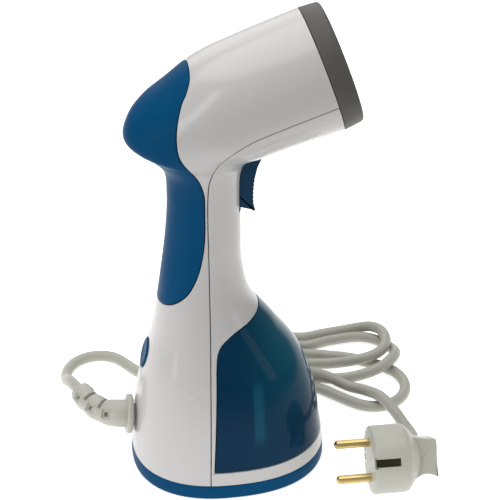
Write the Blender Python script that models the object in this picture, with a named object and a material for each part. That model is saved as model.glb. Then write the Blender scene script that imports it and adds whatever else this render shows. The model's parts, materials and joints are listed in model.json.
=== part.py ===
"""Handheld garment steamer standing on its base, with its mains lead.

Metres, +Z up, +X towards the steam outlet. The body is one loft: its sections lie flat in the
bell and the neck, then fan round the inner corner under the head until they stand square to
the tilted head. Shells, panel, tank and base are cut from that loft by outlines in side view.
"""
import math

import bmesh
import bpy
import numpy as np
from mathutils import Matrix, Vector

MM = 0.001

# overall form
BASE_LENGTH = 107.6 * MM
BASE_WIDTH = 92.6 * MM
SKIRT_HEIGHT = 9.3 * MM
SKIRT_FLARE = 0.4 * MM
NECK_FRONT = 8.5 * MM
NECK_REAR = 30.8 * MM
NECK_WIDTH = 37.0 * MM
NECK_TOP = 175.0 * MM
HEAD_RADIUS = 32.1 * MM
HEAD_TILT = math.radians(19.4)
HEAD_X = 48.6 * MM
HEAD_Z = 229.2 * MM

# walls and clearances
WALL = 2.2 * MM
PANEL_THICKNESS = 1.5 * MM
SEAT_WALL = 1.6 * MM
GAP = 0.3 * MM
SLIDE_GAP = 0.5 * MM
TANK_WALL = 2.0 * MM

# water tank
TANK_FLOOR = 18.0 * MM
TANK_REAR = 13.4 * MM
OUTLET_HEIGHT = 28.0 * MM
OUTLET_RADIUS = 5.0 * MM
OUTLET_BORE = 3.4 * MM
OUTLET_LENGTH = 6.0 * MM
CAP_HEIGHT = 60.0 * MM
CAP_RADIUS = 9.8 * MM
VALVE_STEM = 1.2 * MM
VALVE_TRAVEL = 2.0 * MM

# steam head, lengths along the head's axis from the front edge of the white shells
RING_LENGTH = 10.8 * MM
RING_OPENING = 25.6 * MM
PLATE_THICKNESS = 2.8 * MM
STEAM_HOLE = 1.6 * MM
STEAM_HOLES = 8
BOILER_RADIUS = 23.5 * MM
BOILER_LENGTH = 20.0 * MM
BOILER_SETBACK = 8.0 * MM
CHAMBER_RADIUS = 17.0 * MM
ELEMENT_RADIUS = 2.8 * MM
ELEMENT_RING = 17.0 * MM

# controls
TRIGGER_WIDTH = 15.0 * MM
TRIGGER_PIN = 1.5 * MM
BUTTON_HEIGHT = 18.0 * MM
BUTTON_WIDTH = 12.0 * MM
BUTTON_LEVEL = 70.0 * MM
BUTTON_DEPTH = 7.0 * MM
BUTTON_TRAVEL = 1.5 * MM

# screws
SCREW_RADIUS = 1.2 * MM
SCREW_HEAD = 2.4 * MM
SCREW_HEAD_HEIGHT = 2.0 * MM
BOSS_RADIUS = 3.4 * MM

# mains lead and plug
CORD_DIAMETER = 6.5 * MM
RELIEF_HEIGHT = 29.0 * MM
RELIEF_COLLAR = 11.0 * MM
PLUG_RADIUS = 18.5 * MM
PLUG_DRUM = 20.0 * MM
PLUG_X = 71.0 * MM
PLUG_Y = -49.3 * MM
PLUG_TURN = math.radians(-3.0)
PLUG_ROLL = math.radians(33.0)
PIN_RADIUS = 2.4 * MM
PIN_LENGTH = 19.0 * MM
PIN_SPACING = 19.0 * MM

# mesh fineness
RING_POINTS = 24
ROW_STEPS = 1
ROUND_POINTS = 20
SMALL_POINTS = 10

# bell: height, then the share of the flare at the front, the rear and the sides, and the
# exponent of the section, which is a little squarer than an ellipse at the base
BELL = (
    (SKIRT_HEIGHT / MM, 1.0, 1.0, 1.0, 2.35),
    (25.0, 0.955, 0.948, 0.975, 2.3),
    (45.0, 0.88, 0.82, 0.89, 2.25),
    (65.0, 0.715, 0.647, 0.727, 2.2),
    (85.0, 0.418, 0.414, 0.473, 2.1),
    (105.0, 0.118, 0.246, 0.218, 2.05),
    (125.0, 0.0135, 0.116, 0.055, 2.0),
)

# head: lower end and upper end of each section as place along the axis in millimetres and
# distance from it as a share of the head's radius, then the half width as such a share
HEAD = (
    (-52.9, -1.01, -96.5, -0.155, 0.69),
    (-50.5, -0.94, -102.5, 0.146, 0.77),
    (-47.9, -0.905, -96.6, 0.445, 0.85),
    (-44.7, -0.903, -86.5, 0.642, 0.92),
    (-41.2, -0.916, -74.2, 0.763, 0.965),
    (-33.4, -0.93, -55.1, 0.944, 0.99),
    (-18.8, -0.95, -32.5, 0.988, 1.0),
    (0.0, -1.0, 0.0, 1.0, 1.0),
)

# outlines in side view, in millimetres
PANEL_OUTLINE = (
    (-17.0, 246.0), (-17.4, 235.8), (-20.0, 229.4), (-23.0, 224.3), (-25.7, 216.2), (-26.5, 207.0),
    (-24.5, 197.7), (-16.4, 184.8), (-13.1, 175.5), (-12.5, 167.0), (-12.8, 149.0), (-14.6, 136.0),
    (-17.6, 125.7), (-22.3, 117.0), (-28.0, 111.0), (-33.5, 107.0), (-40.0, 103.5),
)
PARTING_LINE = (
    (-15.8, 0.0), (-15.5, 20.0), (-14.0, 62.0), (-11.9, 99.0), (-11.0, 130.0), (-11.0, 168.0),
    (-9.6, 184.0), (-4.0, 196.5), (6.0, 205.3), (20.0, 211.6), (50.0, 222.2), (90.0, 236.3),
)
TANK_TOP = (
    (-10.0, 77.2), (-8.9, 85.3), (-6.5, 89.9), (-2.6, 93.0), (2.7, 95.5), (10.3, 97.2), (17.6, 98.5),
    (40.0, 103.0),
)

def fold(x, y, radius, first, last, heights):
    """Points of one turn of the lead about a centre, from one angle to another, with their heights."""
    turns = [math.radians(first + (last - first) * i / (len(heights) - 1)) for i in range(len(heights))]
    return [(x + radius * math.cos(turn), y + radius * math.sin(turn), height)
            for turn, height in zip(turns, heights)]


# the lead in millimetres, from the strain relief to the plug: it lies on the floor in loose
# folds beside the body, and passes over itself where the heights rise
CORD_LOW = 3.6
CORD_HIGH = 10.6
CORD_ROUTE = (
    (-80.5, 23.2, 31), (-84.2, 36, 27.5), (-86, 47, 21.5), (-86.8, 58, 13.5), (-86.9, 67, 7),
    *fold(-68.0, 74, 19, 170, 40, (CORD_LOW,) * 6),
    (-45, 74, CORD_LOW), (-37, 65, CORD_LOW), (-26, 56, CORD_LOW), (-13, 51.6, CORD_LOW),
    (2, 50.6, CORD_LOW), (20, 50.3, CORD_LOW), (36, 48.5, CORD_LOW), (49, 45, CORD_LOW),
    (60, 38.5, CORD_LOW), (69.5, 29.5, CORD_LOW),
    *fold(93.5, 34.5, 20.5, -138, 48, (CORD_LOW,) * 8),
    (98, 57, CORD_LOW), (87, 64, CORD_LOW), (73, 69, CORD_LOW), (57, 73.8, CORD_LOW),
    (40, 81, CORD_LOW), (22, 89.2, CORD_LOW), (6, 95.6, CORD_LOW),
    *fold(-8, 78, 20, 90, 270, (CORD_LOW,) * 8),
    (8, 57.6, CORD_LOW), (26, 57.3, CORD_LOW), (44, 55.5, CORD_LOW), (58, 50.5, CORD_LOW),
    (71, 45.2, CORD_LOW), (83, 42.6, 5),
    *fold(94, 63.8, 21.5, -86, 90, (7.8, 10.2, CORD_HIGH, 7.8, 4.4, CORD_LOW, CORD_LOW, CORD_LOW)),
    (78, 84, CORD_LOW), (62, 81, CORD_LOW), (45, 88, CORD_LOW), (28, 96, CORD_LOW), (13, 102.8, 4),
    *fold(-1, 85, 20.3, 90, 270, (6, 8.8, CORD_HIGH, CORD_HIGH, 8.6, 5.6, CORD_LOW, CORD_LOW)),
    (14, 64.6, CORD_LOW), (32, 64.7, CORD_LOW), (50, 64, CORD_LOW), (65, 61.4, CORD_LOW),
    (78, 57.8, 5.4), (88.5, 54, 9),
    *fold(91.5, 73.6, 20.4, -72, 90, (CORD_HIGH, CORD_HIGH, CORD_HIGH, CORD_HIGH, CORD_HIGH, 8.8, 5.6,
                                      CORD_LOW)),
    (77, 92.3, CORD_LOW), (62, 90.5, CORD_LOW), (46, 96.2, CORD_LOW), (30, 104, CORD_LOW),
    (14, 110, CORD_LOW),
    *fold(0, 83, 28.9, 90, 262, (CORD_LOW, CORD_LOW, 4.4, 7.6, CORD_HIGH, CORD_HIGH, CORD_HIGH, CORD_HIGH,
                                 CORD_HIGH, 10)),
    (12, 54.1, 9.8), (30, 53.6, 9.8), (46, 51, 9.8), (58, 46, 9.8), (69, 40, 8.6), (79, 33, 6),
    (87, 24.5, 8.2), (93.5, 14.5, CORD_HIGH), (99, 4.5, 7.8), (103, -6, 4.4), (105, -15, 3.8),
    (104, -23.5, 4), (102.4, -30.4, 5.7), (101.9, -34.9, 8.3),
)

# lesser sizes
RING_ROUND = 1.8 * MM
RING_EDGE = 2.6 * MM
RING_LIP = 2.8 * MM
RING_SPIGOT = 4.0 * MM
SPIGOT_WALL = 1.2 * MM
PLATE_HOLE_RING = 15.0 * MM
CHAMBER_DEPTH = 9.0 * MM
SEAL_THICKNESS = 1.0 * MM
BOILER_SCREW_RING = 21.3 * MM
THERMOSTAT_RADIUS = 5.5 * MM
NIPPLE_DROP = 8.5 * MM
HOSE_RADIUS = 2.2 * MM
LINER = 1.4 * MM
SEAT_LAP = 3.0 * MM
PARTING_NECK = -11.0 * MM
SHELL_SCREW_Y = 8.5 * MM
SHELL_SCREW_LEVELS = (120 * MM, 150 * MM)
REAR_BOSS_X = -34.0 * MM
FRONT_BOSS_X = 28.0 * MM
BASE_BOSS_TOP = 24.0 * MM
BASE_PLATE = 2.4 * MM
CLAMP_X = -40.0 * MM
CLAMP_SPREAD = 7.5 * MM
PIN_EAR = 3.6 * MM
PIN_REACH = 12.0 * MM
SPRING_WIRE = 0.7 * MM
SPRING_POCKET = 7.2 * MM
BUTTON_PROUD = 0.8 * MM
CAP_RECESS = 4.2 * MM
CAP_FLANGE = 2.0 * MM
CAP_PLUG = 7.2 * MM
SOCKET_BORE = 6.6 * MM
PUMP_RADIUS = 8.0 * MM
PUMP_COIL = 11.5 * MM
PUMP_X = -29.0 * MM
PUMP_Y = 14.0 * MM
PUMP_LOW = 34.0 * MM
PUMP_HIGH = 66.0 * MM
BOARD_X = -26.0 * MM
TERMINAL_Y = -11.6 * MM
RELIEF_NECK = 5.6 * MM
RELIEF_RADIUS = 8.0 * MM
CORD_STEP = 22.0 * MM
PLUG_GRIP = 36.0 * MM
PLUG_SLEEVE = 4.8 * MM
PLUG_SLEEVE_X = 30.0 * MM
PLUG_SLEEVE_TOP = 18.0 * MM
EARTH_SLOT = 4.4 * MM
RELIEF_ROUTE = ((-68.0, 4.0, 29.5), (-75.5, 12.0, 30.5), (-80.0, 22.0, 31.0))


def bell_row(height, front, rear, side, exponent):
    """One flat section of the bell: front x, z, rear x, z, half width, exponent."""
    front_x = NECK_FRONT + (BASE_LENGTH / 2 - NECK_FRONT) * front
    rear_x = -NECK_REAR - (BASE_LENGTH / 2 - NECK_REAR) * rear
    half = NECK_WIDTH / 2 + (BASE_WIDTH - NECK_WIDTH) / 2 * side
    return (front_x, height * MM, rear_x, height * MM, half, exponent)


def head_point(along, away):
    """Side view place of a point given along the head's axis and away from it."""
    x = HEAD_X + along * math.cos(HEAD_TILT) - away * math.sin(HEAD_TILT)
    z = HEAD_Z + along * math.sin(HEAD_TILT) + away * math.cos(HEAD_TILT)
    return x, z


def body_rows():
    """Every section of the body from the base to the front of the head."""
    rows = [bell_row(*station) for station in BELL]
    half = NECK_WIDTH / 2
    rows.append((NECK_FRONT, 145 * MM, -NECK_REAR, 145 * MM, half, 2.0))
    rows.append((NECK_FRONT, NECK_TOP - 12 * MM, 1.4 * MM - NECK_REAR, NECK_TOP - 10 * MM, half, 2.0))
    rows.append((NECK_FRONT, NECK_TOP, -NECK_REAR, NECK_TOP + 6 * MM, half + 1.2 * MM, 2.0))
    for low_along, low_share, high_along, high_share, width in HEAD:
        low = head_point(low_along * MM, low_share * HEAD_RADIUS)
        high = head_point(high_along * MM, high_share * HEAD_RADIUS)
        rows.append((*low, *high, width * HEAD_RADIUS, 2.0))
    return np.array(rows)


def smooth_rows(rows, steps):
    """Catmull-Rom curve through the rows, with the given steps between two of them."""
    slope = np.gradient(rows, axis=0)
    fine = []
    for i in range(len(rows) - 1):
        for t in np.arange(steps) / steps:
            fine.append((2 * t**3 - 3 * t**2 + 1) * rows[i] + (t**3 - 2 * t**2 + t) * slope[i]
                        + (3 * t**2 - 2 * t**3) * rows[i + 1] + (t**3 - t**2) * slope[i + 1])
    fine.append(rows[-1])
    return np.array(fine)


def inset_rows(rows, depth):
    """The same sections moved inwards by a wall's thickness, square to the surface."""
    moved = rows.copy()
    for column, turn in ((0, 1.0), (2, -1.0)):
        along = np.gradient(rows[:, column:column + 2], axis=0)
        along /= np.linalg.norm(along, axis=1)[:, None]
        moved[:, column] -= turn * depth * along[:, 1]
        moved[:, column + 1] += turn * depth * along[:, 0]
    moved[:, 4] -= depth
    return moved


BODY_ROWS = smooth_rows(body_rows(), ROW_STEPS)


def section_at(height):
    """Front x, rear x, half width and exponent of the bell or neck at a height."""
    count = ROW_STEPS * (len(BELL) + 1)
    levels = BODY_ROWS[:count, 1]
    return [float(np.interp(height, levels, BODY_ROWS[:count, i])) for i in (0, 2, 4, 5)]


def side_at(x, height):
    """Half width of the outer surface at a place along the body and a height."""
    front, rear, half, exponent = section_at(height)
    share = abs(x - (front + rear) / 2) / ((front - rear) / 2)
    return half * max(0.0, 1 - share**exponent) ** (1 / exponent)


def rear_at(y, height):
    """x of the rear surface at a distance from the middle plane and a height."""
    front, rear, half, exponent = section_at(height)
    share = max(0.0, 1 - (abs(y) / half)**exponent) ** (1 / exponent)
    return (front + rear) / 2 - (front - rear) / 2 * share


# ---- building blocks


def finish(name, bm, parent=None, matrix=None, colour=(0.8, 0.8, 0.8), rough=0.4, metal=0.0,
           smooth=True):
    """Turn a bmesh into a named object with its own material."""
    bmesh.ops.recalc_face_normals(bm, faces=bm.faces)
    mesh = bpy.data.meshes.new(name)
    bm.to_mesh(mesh)
    bm.free()
    if smooth:
        mesh.shade_smooth()
        mesh.set_sharp_from_angle(angle=math.radians(35))
    return place(name, mesh, parent, matrix, colour, rough, metal)


def place(name, data, parent=None, matrix=None, colour=(0.8, 0.8, 0.8), rough=0.4, metal=0.0):
    obj = bpy.data.objects.new(name, data)
    bpy.context.scene.collection.objects.link(obj)
    obj.parent = parent
    if matrix is not None:
        obj.matrix_local = matrix
    material = bpy.data.materials.new(name)
    material.use_nodes = True
    shader = material.node_tree.nodes["Principled BSDF"]
    shader.inputs["Base Color"].default_value = (*colour, 1.0)
    shader.inputs["Roughness"].default_value = rough
    shader.inputs["Metallic"].default_value = metal
    data.materials.append(material)
    return obj


def empty(name, parent=None, matrix=None):
    obj = bpy.data.objects.new(name, None)
    bpy.context.scene.collection.objects.link(obj)
    obj.parent = parent
    if matrix is not None:
        obj.matrix_local = matrix
    return obj


def loft(rows, points=RING_POINTS):
    """Closed solid through sections given as front, rear, half width and exponent."""
    bm = bmesh.new()
    rings = []
    for front_x, front_z, rear_x, rear_z, half, exponent in rows:
        middle = Vector(((front_x + rear_x) / 2, 0, (front_z + rear_z) / 2))
        reach = Vector(((front_x - rear_x) / 2, 0, (front_z - rear_z) / 2))
        ring = []
        for i in range(points):
            turn = 2 * math.pi * i / points
            c, s = math.cos(turn), math.sin(turn)
            c = math.copysign(abs(c) ** (2 / exponent), c)
            s = math.copysign(abs(s) ** (2 / exponent), s)
            ring.append(bm.verts.new(middle + reach * c + Vector((0, half * s, 0))))
        rings.append(ring)
    for low, high in zip(rings, rings[1:]):
        for i in range(points):
            j = (i + 1) % points
            bm.faces.new((low[i], low[j], high[j], high[i]))
    bm.faces.new(rings[0])
    bm.faces.new(rings[-1])
    return bm


def prism(outline, low, high):
    """Side view outline of (x, z) points carried across from one y to another."""
    bm = bmesh.new()
    face = bm.faces.new([bm.verts.new((x, low, z)) for x, z in outline])
    moved = bmesh.ops.extrude_face_region(bm, geom=[face])["geom"]
    verts = [item for item in moved if isinstance(item, bmesh.types.BMVert)]
    bmesh.ops.translate(bm, verts=verts, vec=(0, high - low, 0))
    return bm


def block(low, high):
    """Box between two corners."""
    bm = bmesh.new()
    size = Vector(high) - Vector(low)
    middle = (Vector(high) + Vector(low)) / 2
    matrix = Matrix.Translation(middle) @ Matrix.Diagonal((*size, 1))
    bmesh.ops.create_cube(bm, size=1, matrix=matrix)
    return bm


def rod(radius, start, end, points=SMALL_POINTS):
    """Round bar from one point to another."""
    bm = bmesh.new()
    start, end = Vector(start), Vector(end)
    turn = (end - start).to_track_quat("Z", "Y").to_matrix().to_4x4()
    matrix = Matrix.Translation((start + end) / 2) @ turn
    bmesh.ops.create_cone(bm, cap_ends=True, segments=points, radius1=radius, radius2=radius,
                          depth=(end - start).length, matrix=matrix)
    return bm


def turned(profile, points=ROUND_POINTS):
    """Solid turned about the X axis from a closed outline of (x, radius)."""
    bm = bmesh.new()
    verts = [bm.verts.new((x, 0, radius)) for x, radius in profile]
    edges = [bm.edges.new((a, b)) for a, b in zip(verts, verts[1:] + verts[:1])]
    bmesh.ops.spin(bm, geom=verts + edges, cent=(0, 0, 0), axis=(1, 0, 0), dvec=(0, 0, 0),
                   angle=2 * math.pi, steps=points, use_merge=True)
    bmesh.ops.remove_doubles(bm, verts=bm.verts, dist=1e-6)
    flat = [face for face in bm.faces if face.calc_area() < 1e-14]
    bmesh.ops.delete(bm, geom=flat, context="FACES")
    loose = [edge for edge in bm.edges if not edge.link_faces]
    bmesh.ops.delete(bm, geom=loose, context="EDGES")
    return bm


def raw(bm, matrix=None):
    """A hidden helper object for a Boolean."""
    bmesh.ops.recalc_face_normals(bm, faces=bm.faces)
    mesh = bpy.data.meshes.new("helper")
    bm.to_mesh(mesh)
    bm.free()
    obj = bpy.data.objects.new("helper", mesh)
    bpy.context.scene.collection.objects.link(obj)
    if matrix is not None:
        obj.matrix_local = matrix
    obj.hide_render = True
    obj.display_type = "WIRE"
    return obj


def combine(target, operation, *tools):
    """Boolean a helper with bmesh tools, and return it with the result in its mesh."""
    for tool in tools:
        cutter = tool if isinstance(tool, bpy.types.Object) else raw(tool)
        modifier = target.modifiers.new("cut", "BOOLEAN")
        modifier.operation = operation
        modifier.object = cutter
        bpy.context.view_layer.update()
        shaped = target.evaluated_get(bpy.context.evaluated_depsgraph_get())
        mesh = bpy.data.meshes.new_from_object(shaped)
        target.modifiers.clear()
        target.data = mesh
        bpy.data.objects.remove(cutter)
    return target


def named(helper, name, parent, colour, rough=0.4, metal=0.0, matrix=None):
    """Turn a finished helper into a named sub-part."""
    mesh = helper.data
    bpy.data.objects.remove(helper)
    bm = bmesh.new()
    bm.from_mesh(mesh)
    bmesh.ops.remove_doubles(bm, verts=bm.verts, dist=2e-6)
    bmesh.ops.dissolve_degenerate(bm, edges=bm.edges, dist=2e-6)
    bmesh.ops.triangulate(bm, faces=bm.faces)
    return finish(name, bm, parent, matrix, colour, rough, metal)


def smooth_path(points, spacing, bend_length=0.0):
    """Points along a Catmull-Rom curve through a route, evenly or closer together in its bends."""
    fine = smooth_rows(np.array(points, float), 12)
    step = np.linalg.norm(np.diff(fine, axis=0), axis=1)
    heading = np.diff(fine, axis=0) / step[:, None]
    turn = np.linalg.norm(np.diff(heading, axis=0, append=heading[-1:]), axis=1)
    step = step + bend_length * turn
    run = np.concatenate([[0], np.cumsum(step)])
    count = max(2, round(run[-1] / spacing) + 1)
    marks = np.linspace(0, run[-1], count)
    return np.stack([np.interp(marks, run, fine[:, i]) for i in range(3)], axis=1)


def tube(name, points, radius, parent, colour, rough=0.5, metal=0.0, resolution=2, radii=None):
    """Round tube along points, closed at both ends."""
    curve = bpy.data.curves.new(name, "CURVE")
    curve.dimensions = "3D"
    curve.bevel_depth = radius
    curve.bevel_resolution = resolution
    curve.use_fill_caps = True
    spline = curve.splines.new("POLY")
    spline.points.add(len(points) - 1)
    for i, point in enumerate(points):
        spline.points[i].co = (*point, 1)
        spline.points[i].radius = 1 if radii is None else radii[i]
    return place(name, curve, parent, None, colour, rough, metal)


def screw(name, head, tip, parent):
    """Pan head screw from its head's outer face to its tip."""
    head, tip = Vector(head), Vector(tip)
    length = (tip - head).length
    profile = ((0, 0), (0, SCREW_HEAD), (SCREW_HEAD_HEIGHT, SCREW_HEAD), (SCREW_HEAD_HEIGHT, SCREW_RADIUS),
               (length, SCREW_RADIUS), (length, 0))
    turn = (tip - head).to_track_quat("X", "Z").to_matrix().to_4x4()
    return finish(name, turned(profile, SMALL_POINTS), parent, Matrix.Translation(head) @ turn,
                  STEEL, 0.3, 1.0)


WHITE = (0.8, 0.79, 0.77)
BLUE = (0.012, 0.13, 0.3)
TANK_BLUE = (0.01, 0.13, 0.22)
GREY = (0.13, 0.13, 0.12)
PALE = (0.6, 0.6, 0.54)
STEEL = (0.6, 0.6, 0.62)
CAST = (0.55, 0.56, 0.57)
BRASS = (0.7, 0.55, 0.25)
BLACK = (0.03, 0.03, 0.03)
COPPER = (0.6, 0.3, 0.15)
GREEN = (0.03, 0.2, 0.08)
SILICONE = (0.65, 0.3, 0.2)


def scaled(outline):
    """Side view outline given in millimetres, in metres."""
    return [(x * MM, z * MM) for x, z in outline]


def grown(outline, amount):
    """A closed outline moved outwards, or inwards with a negative amount."""
    points = np.array(outline)
    area = 0.5 * np.sum(points[:, 0] * np.roll(points[:, 1], -1) - np.roll(points[:, 0], -1) * points[:, 1])
    turn = math.copysign(1.0, area)
    before = points - np.roll(points, 1, axis=0)
    after = np.roll(points, -1, axis=0) - points
    before /= np.linalg.norm(before, axis=1)[:, None]
    after /= np.linalg.norm(after, axis=1)[:, None]
    first = np.stack([before[:, 1], -before[:, 0]], axis=1) * turn
    second = np.stack([after[:, 1], -after[:, 0]], axis=1) * turn
    middle = first + second
    share = np.maximum(np.sum(middle * first, axis=1), 0.5)
    return [tuple(point) for point in points + middle / share[:, None] * amount]


def resampled(line, steps=3):
    """Smooth an open outline with a few points between its own."""
    return [tuple(point) for point in smooth_rows(np.array(line), steps)]


def panel_region(amount=0.0):
    line = resampled(scaled(PANEL_OUTLINE), 2)
    corner = [(-0.12, line[-1][1]), (-0.12, line[0][1])]
    return grown(line + corner, amount)


def parting_region(rear, amount=0.0):
    line = resampled(scaled(PARTING_LINE), 2)
    side = -0.15 if rear else 0.2
    low = (side, line[0][1] - 0.02)
    corners = [(line[-1][0], 0.33), (side, 0.33), low] if rear else [(line[-1][0], low[1])]
    start = [(line[0][0], low[1])]
    return grown(start + line + corners, amount)


def tank_region(amount=0.0):
    top = resampled(scaled(TANK_TOP), 2)
    low = [(0.12, TANK_FLOOR), (-TANK_REAR, TANK_FLOOR)]
    return grown([(0.12, top[-1][1])] + low + top, amount)


def extended(rows):
    """Rows carried on past both ends, so that a cavity opens there."""
    first = rows[0] - np.array([0, 0.03, 0, 0.03, 0, 0])
    forward = np.array([math.cos(HEAD_TILT), math.sin(HEAD_TILT)] * 2 + [0, 0]) * 0.02
    return np.vstack([first, rows, rows[-1] + forward])


def shell_solid(inner, outer=0.0):
    """The body's wall between two depths, as outer solid and cavity."""
    rows = inset_rows(BODY_ROWS, outer) if outer else BODY_ROWS
    return loft(rows), loft(extended(inset_rows(BODY_ROWS, inner)))


def remove_everything():
    for obj in list(bpy.data.objects):
        bpy.data.objects.remove(obj)


def origin_shift():
    """The object's middle along X, between the base's rear and the ring's lower front edge."""
    front = head_point(RING_LENGTH, RING_EDGE - HEAD_RADIUS)[0]
    return (front - BASE_LENGTH / 2 - SKIRT_FLARE) / 2


def make_shells(parent):
    """White front and rear shells, split by the parting line, and the blue grip panel."""
    bosses = [(x_low, y, z) for z in SHELL_SCREW_LEVELS for y in (-SHELL_SCREW_Y, SHELL_SCREW_Y)
              for x_low in (rear_at(SHELL_SCREW_Y + SCREW_HEAD, z) + 1.5 * PANEL_THICKNESS + GAP,)]

    outer, cavity = shell_solid(WALL)
    rear = combine(raw(outer), "DIFFERENCE", cavity, prism(panel_region(GAP), -BASE_WIDTH, BASE_WIDTH))
    seat, hollow = shell_solid(PANEL_THICKNESS + GAP + SEAT_WALL, PANEL_THICKNESS + GAP)
    seat = combine(raw(seat), "INTERSECT", prism(panel_region(SEAT_LAP), -BASE_WIDTH, BASE_WIDTH))
    combine(seat, "DIFFERENCE", hollow)
    combine(rear, "UNION", seat)
    combine(rear, "INTERSECT", prism(parting_region(True, -GAP / 2), -BASE_WIDTH, BASE_WIDTH))
    for x, y, z in bosses:
        post = rod(BOSS_RADIUS, (x + 0.5 * MM, y, z), (PARTING_NECK - GAP / 2, y, z))
        post = combine(raw(post), "INTERSECT", loft(inset_rows(BODY_ROWS, PANEL_THICKNESS + 2 * GAP)))
        combine(rear, "UNION", post)
    for side in (-1, 1):
        x, y = REAR_BOSS_X, side * (side_at(REAR_BOSS_X, BASE_BOSS_TOP) - WALL - 1.2 * MM)
        combine(rear, "UNION", rod(BOSS_RADIUS, (x, y, SKIRT_HEIGHT + GAP), (x, y, BASE_BOSS_TOP)))
        combine(rear, "DIFFERENCE", rod(SCREW_RADIUS + GAP, (x, y, 0), (x, y, BASE_BOSS_TOP - 2 * MM)))
    for x, y, z in bosses:
        sink = x + SCREW_HEAD_HEIGHT + 2 * GAP
        combine(rear, "DIFFERENCE", rod(SCREW_HEAD + GAP, (x - 9 * MM, y, z), (sink, y, z)))
        combine(rear, "DIFFERENCE", rod(SCREW_RADIUS + GAP, (x, y, z), (0, y, z)))
    hole = rod(RELIEF_NECK + GAP, (-10 * MM, 0, 0), (10 * MM, 0, 0), ROUND_POINTS)
    combine(rear, "DIFFERENCE", raw(hole, rear_frame(RELIEF_HEIGHT)))
    hole = oval(BUTTON_WIDTH / 2 + GAP, BUTTON_HEIGHT / 2 + GAP, -20 * MM, 20 * MM)
    combine(rear, "DIFFERENCE", raw(hole, rear_frame(BUTTON_LEVEL)))
    named(rear, "rear_shell", parent, WHITE, 0.25)

    outer, cavity = shell_solid(WALL)
    hollow = combine(raw(cavity), "DIFFERENCE", prism(tank_region(SLIDE_GAP + LINER), -BASE_WIDTH,
                                                      BASE_WIDTH))
    front = combine(raw(outer), "INTERSECT", prism(parting_region(False, -GAP / 2), -BASE_WIDTH, BASE_WIDTH))
    combine(front, "DIFFERENCE", hollow, prism(tank_region(SLIDE_GAP), -BASE_WIDTH, BASE_WIDTH))
    for x, y, z in bosses:
        post = rod(BOSS_RADIUS, (PARTING_NECK + GAP / 2, y, z), (0.05, y, z))
        post = combine(raw(post), "INTERSECT", loft(inset_rows(BODY_ROWS, WALL / 2)))
        combine(front, "UNION", post)
        combine(front, "DIFFERENCE",
                rod(SCREW_RADIUS + GAP, (PARTING_NECK - 5 * MM, y, z), (PARTING_NECK + 9 * MM, y, z)))
    for side in (-1, 1):
        x, y = FRONT_BOSS_X, side * (side_at(FRONT_BOSS_X, SKIRT_HEIGHT) - WALL - 1.2 * MM)
        top = TANK_FLOOR - SLIDE_GAP - LINER / 2
        combine(front, "UNION", rod(BOSS_RADIUS, (x, y, SKIRT_HEIGHT + GAP), (x, y, top)))
        combine(front, "DIFFERENCE", rod(SCREW_RADIUS + GAP, (x, y, 0), (x, y, top - 1.5 * MM)))
    pivot_x, pivot_z = trigger_pivot()
    for side in (-1, 1):
        ear = rod(PIN_EAR, (pivot_x, side * (TRIGGER_WIDTH / 2 + 2 * GAP), pivot_z),
                  (pivot_x, side * NECK_WIDTH, pivot_z))
        ear = combine(raw(ear), "INTERSECT", loft(inset_rows(BODY_ROWS, WALL / 2)))
        combine(front, "UNION", ear)
    combine(front, "DIFFERENCE", rod(TRIGGER_PIN + GAP, (pivot_x, -PIN_REACH, pivot_z),
                                     (pivot_x, PIN_REACH, pivot_z)))
    half = TRIGGER_WIDTH / 2 + SLIDE_GAP
    combine(front, "DIFFERENCE", prism(trigger_slot(), -half, half))
    outlet = rod(SOCKET_BORE, (-0.03, 0, OUTLET_HEIGHT), (0, 0, OUTLET_HEIGHT), ROUND_POINTS)
    combine(front, "DIFFERENCE", outlet)
    named(front, "front_shell", parent, WHITE, 0.25)

    outer, cavity = shell_solid(PANEL_THICKNESS)
    panel = combine(raw(outer), "INTERSECT", prism(panel_region(), -BASE_WIDTH, BASE_WIDTH))
    combine(panel, "DIFFERENCE", cavity)
    named(panel, "grip_panel", parent, BLUE, 0.35)
    for count, (x, y, z) in enumerate(bosses, 1):
        head = x + GAP
        screw(f"shell_screw_{count}", (head, y, z), (PARTING_NECK + 7 * MM, y, z), parent)


def trigger_pivot():
    return head_point(-55.8 * MM, -27.2 / 32.1 * HEAD_RADIUS)


def trigger_outline():
    """Side view of the trigger about its pivot: eye at the top, curved pad in front."""
    x, z = trigger_pivot()
    pad = ((14.0, 2.3), (12.9, -0.2), (11.4, -3.5), (10.3, -8.0), (9.6, -13.0), (9.25, -18.0), (9.2, -23.0),
           (9.5, -26.0), (10.1, -28.6), (2.2, -25.9), (-3.0, -24.6), (-3.2, -15.0), (-3.9, -6.0),
           (-4.2, 0.0), (-3.0, 3.0), (0.0, 4.2), (4.0, 4.2), (9.0, 3.0))
    return [(x + a * MM, z + b * MM) for a, b in pad]


def trigger_slot():
    """Window in the front shell, long enough below for the trigger's swing."""
    x, z = trigger_pivot()
    slot = ((17.5, 1.5), (14.5, 2.9), (9.0, 3.7), (4.0, 4.9), (-5.0, 4.9), (-5.0, -28.3), (17.5, -28.3))
    return [(x + a * MM, z + b * MM) for a, b in slot]


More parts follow.
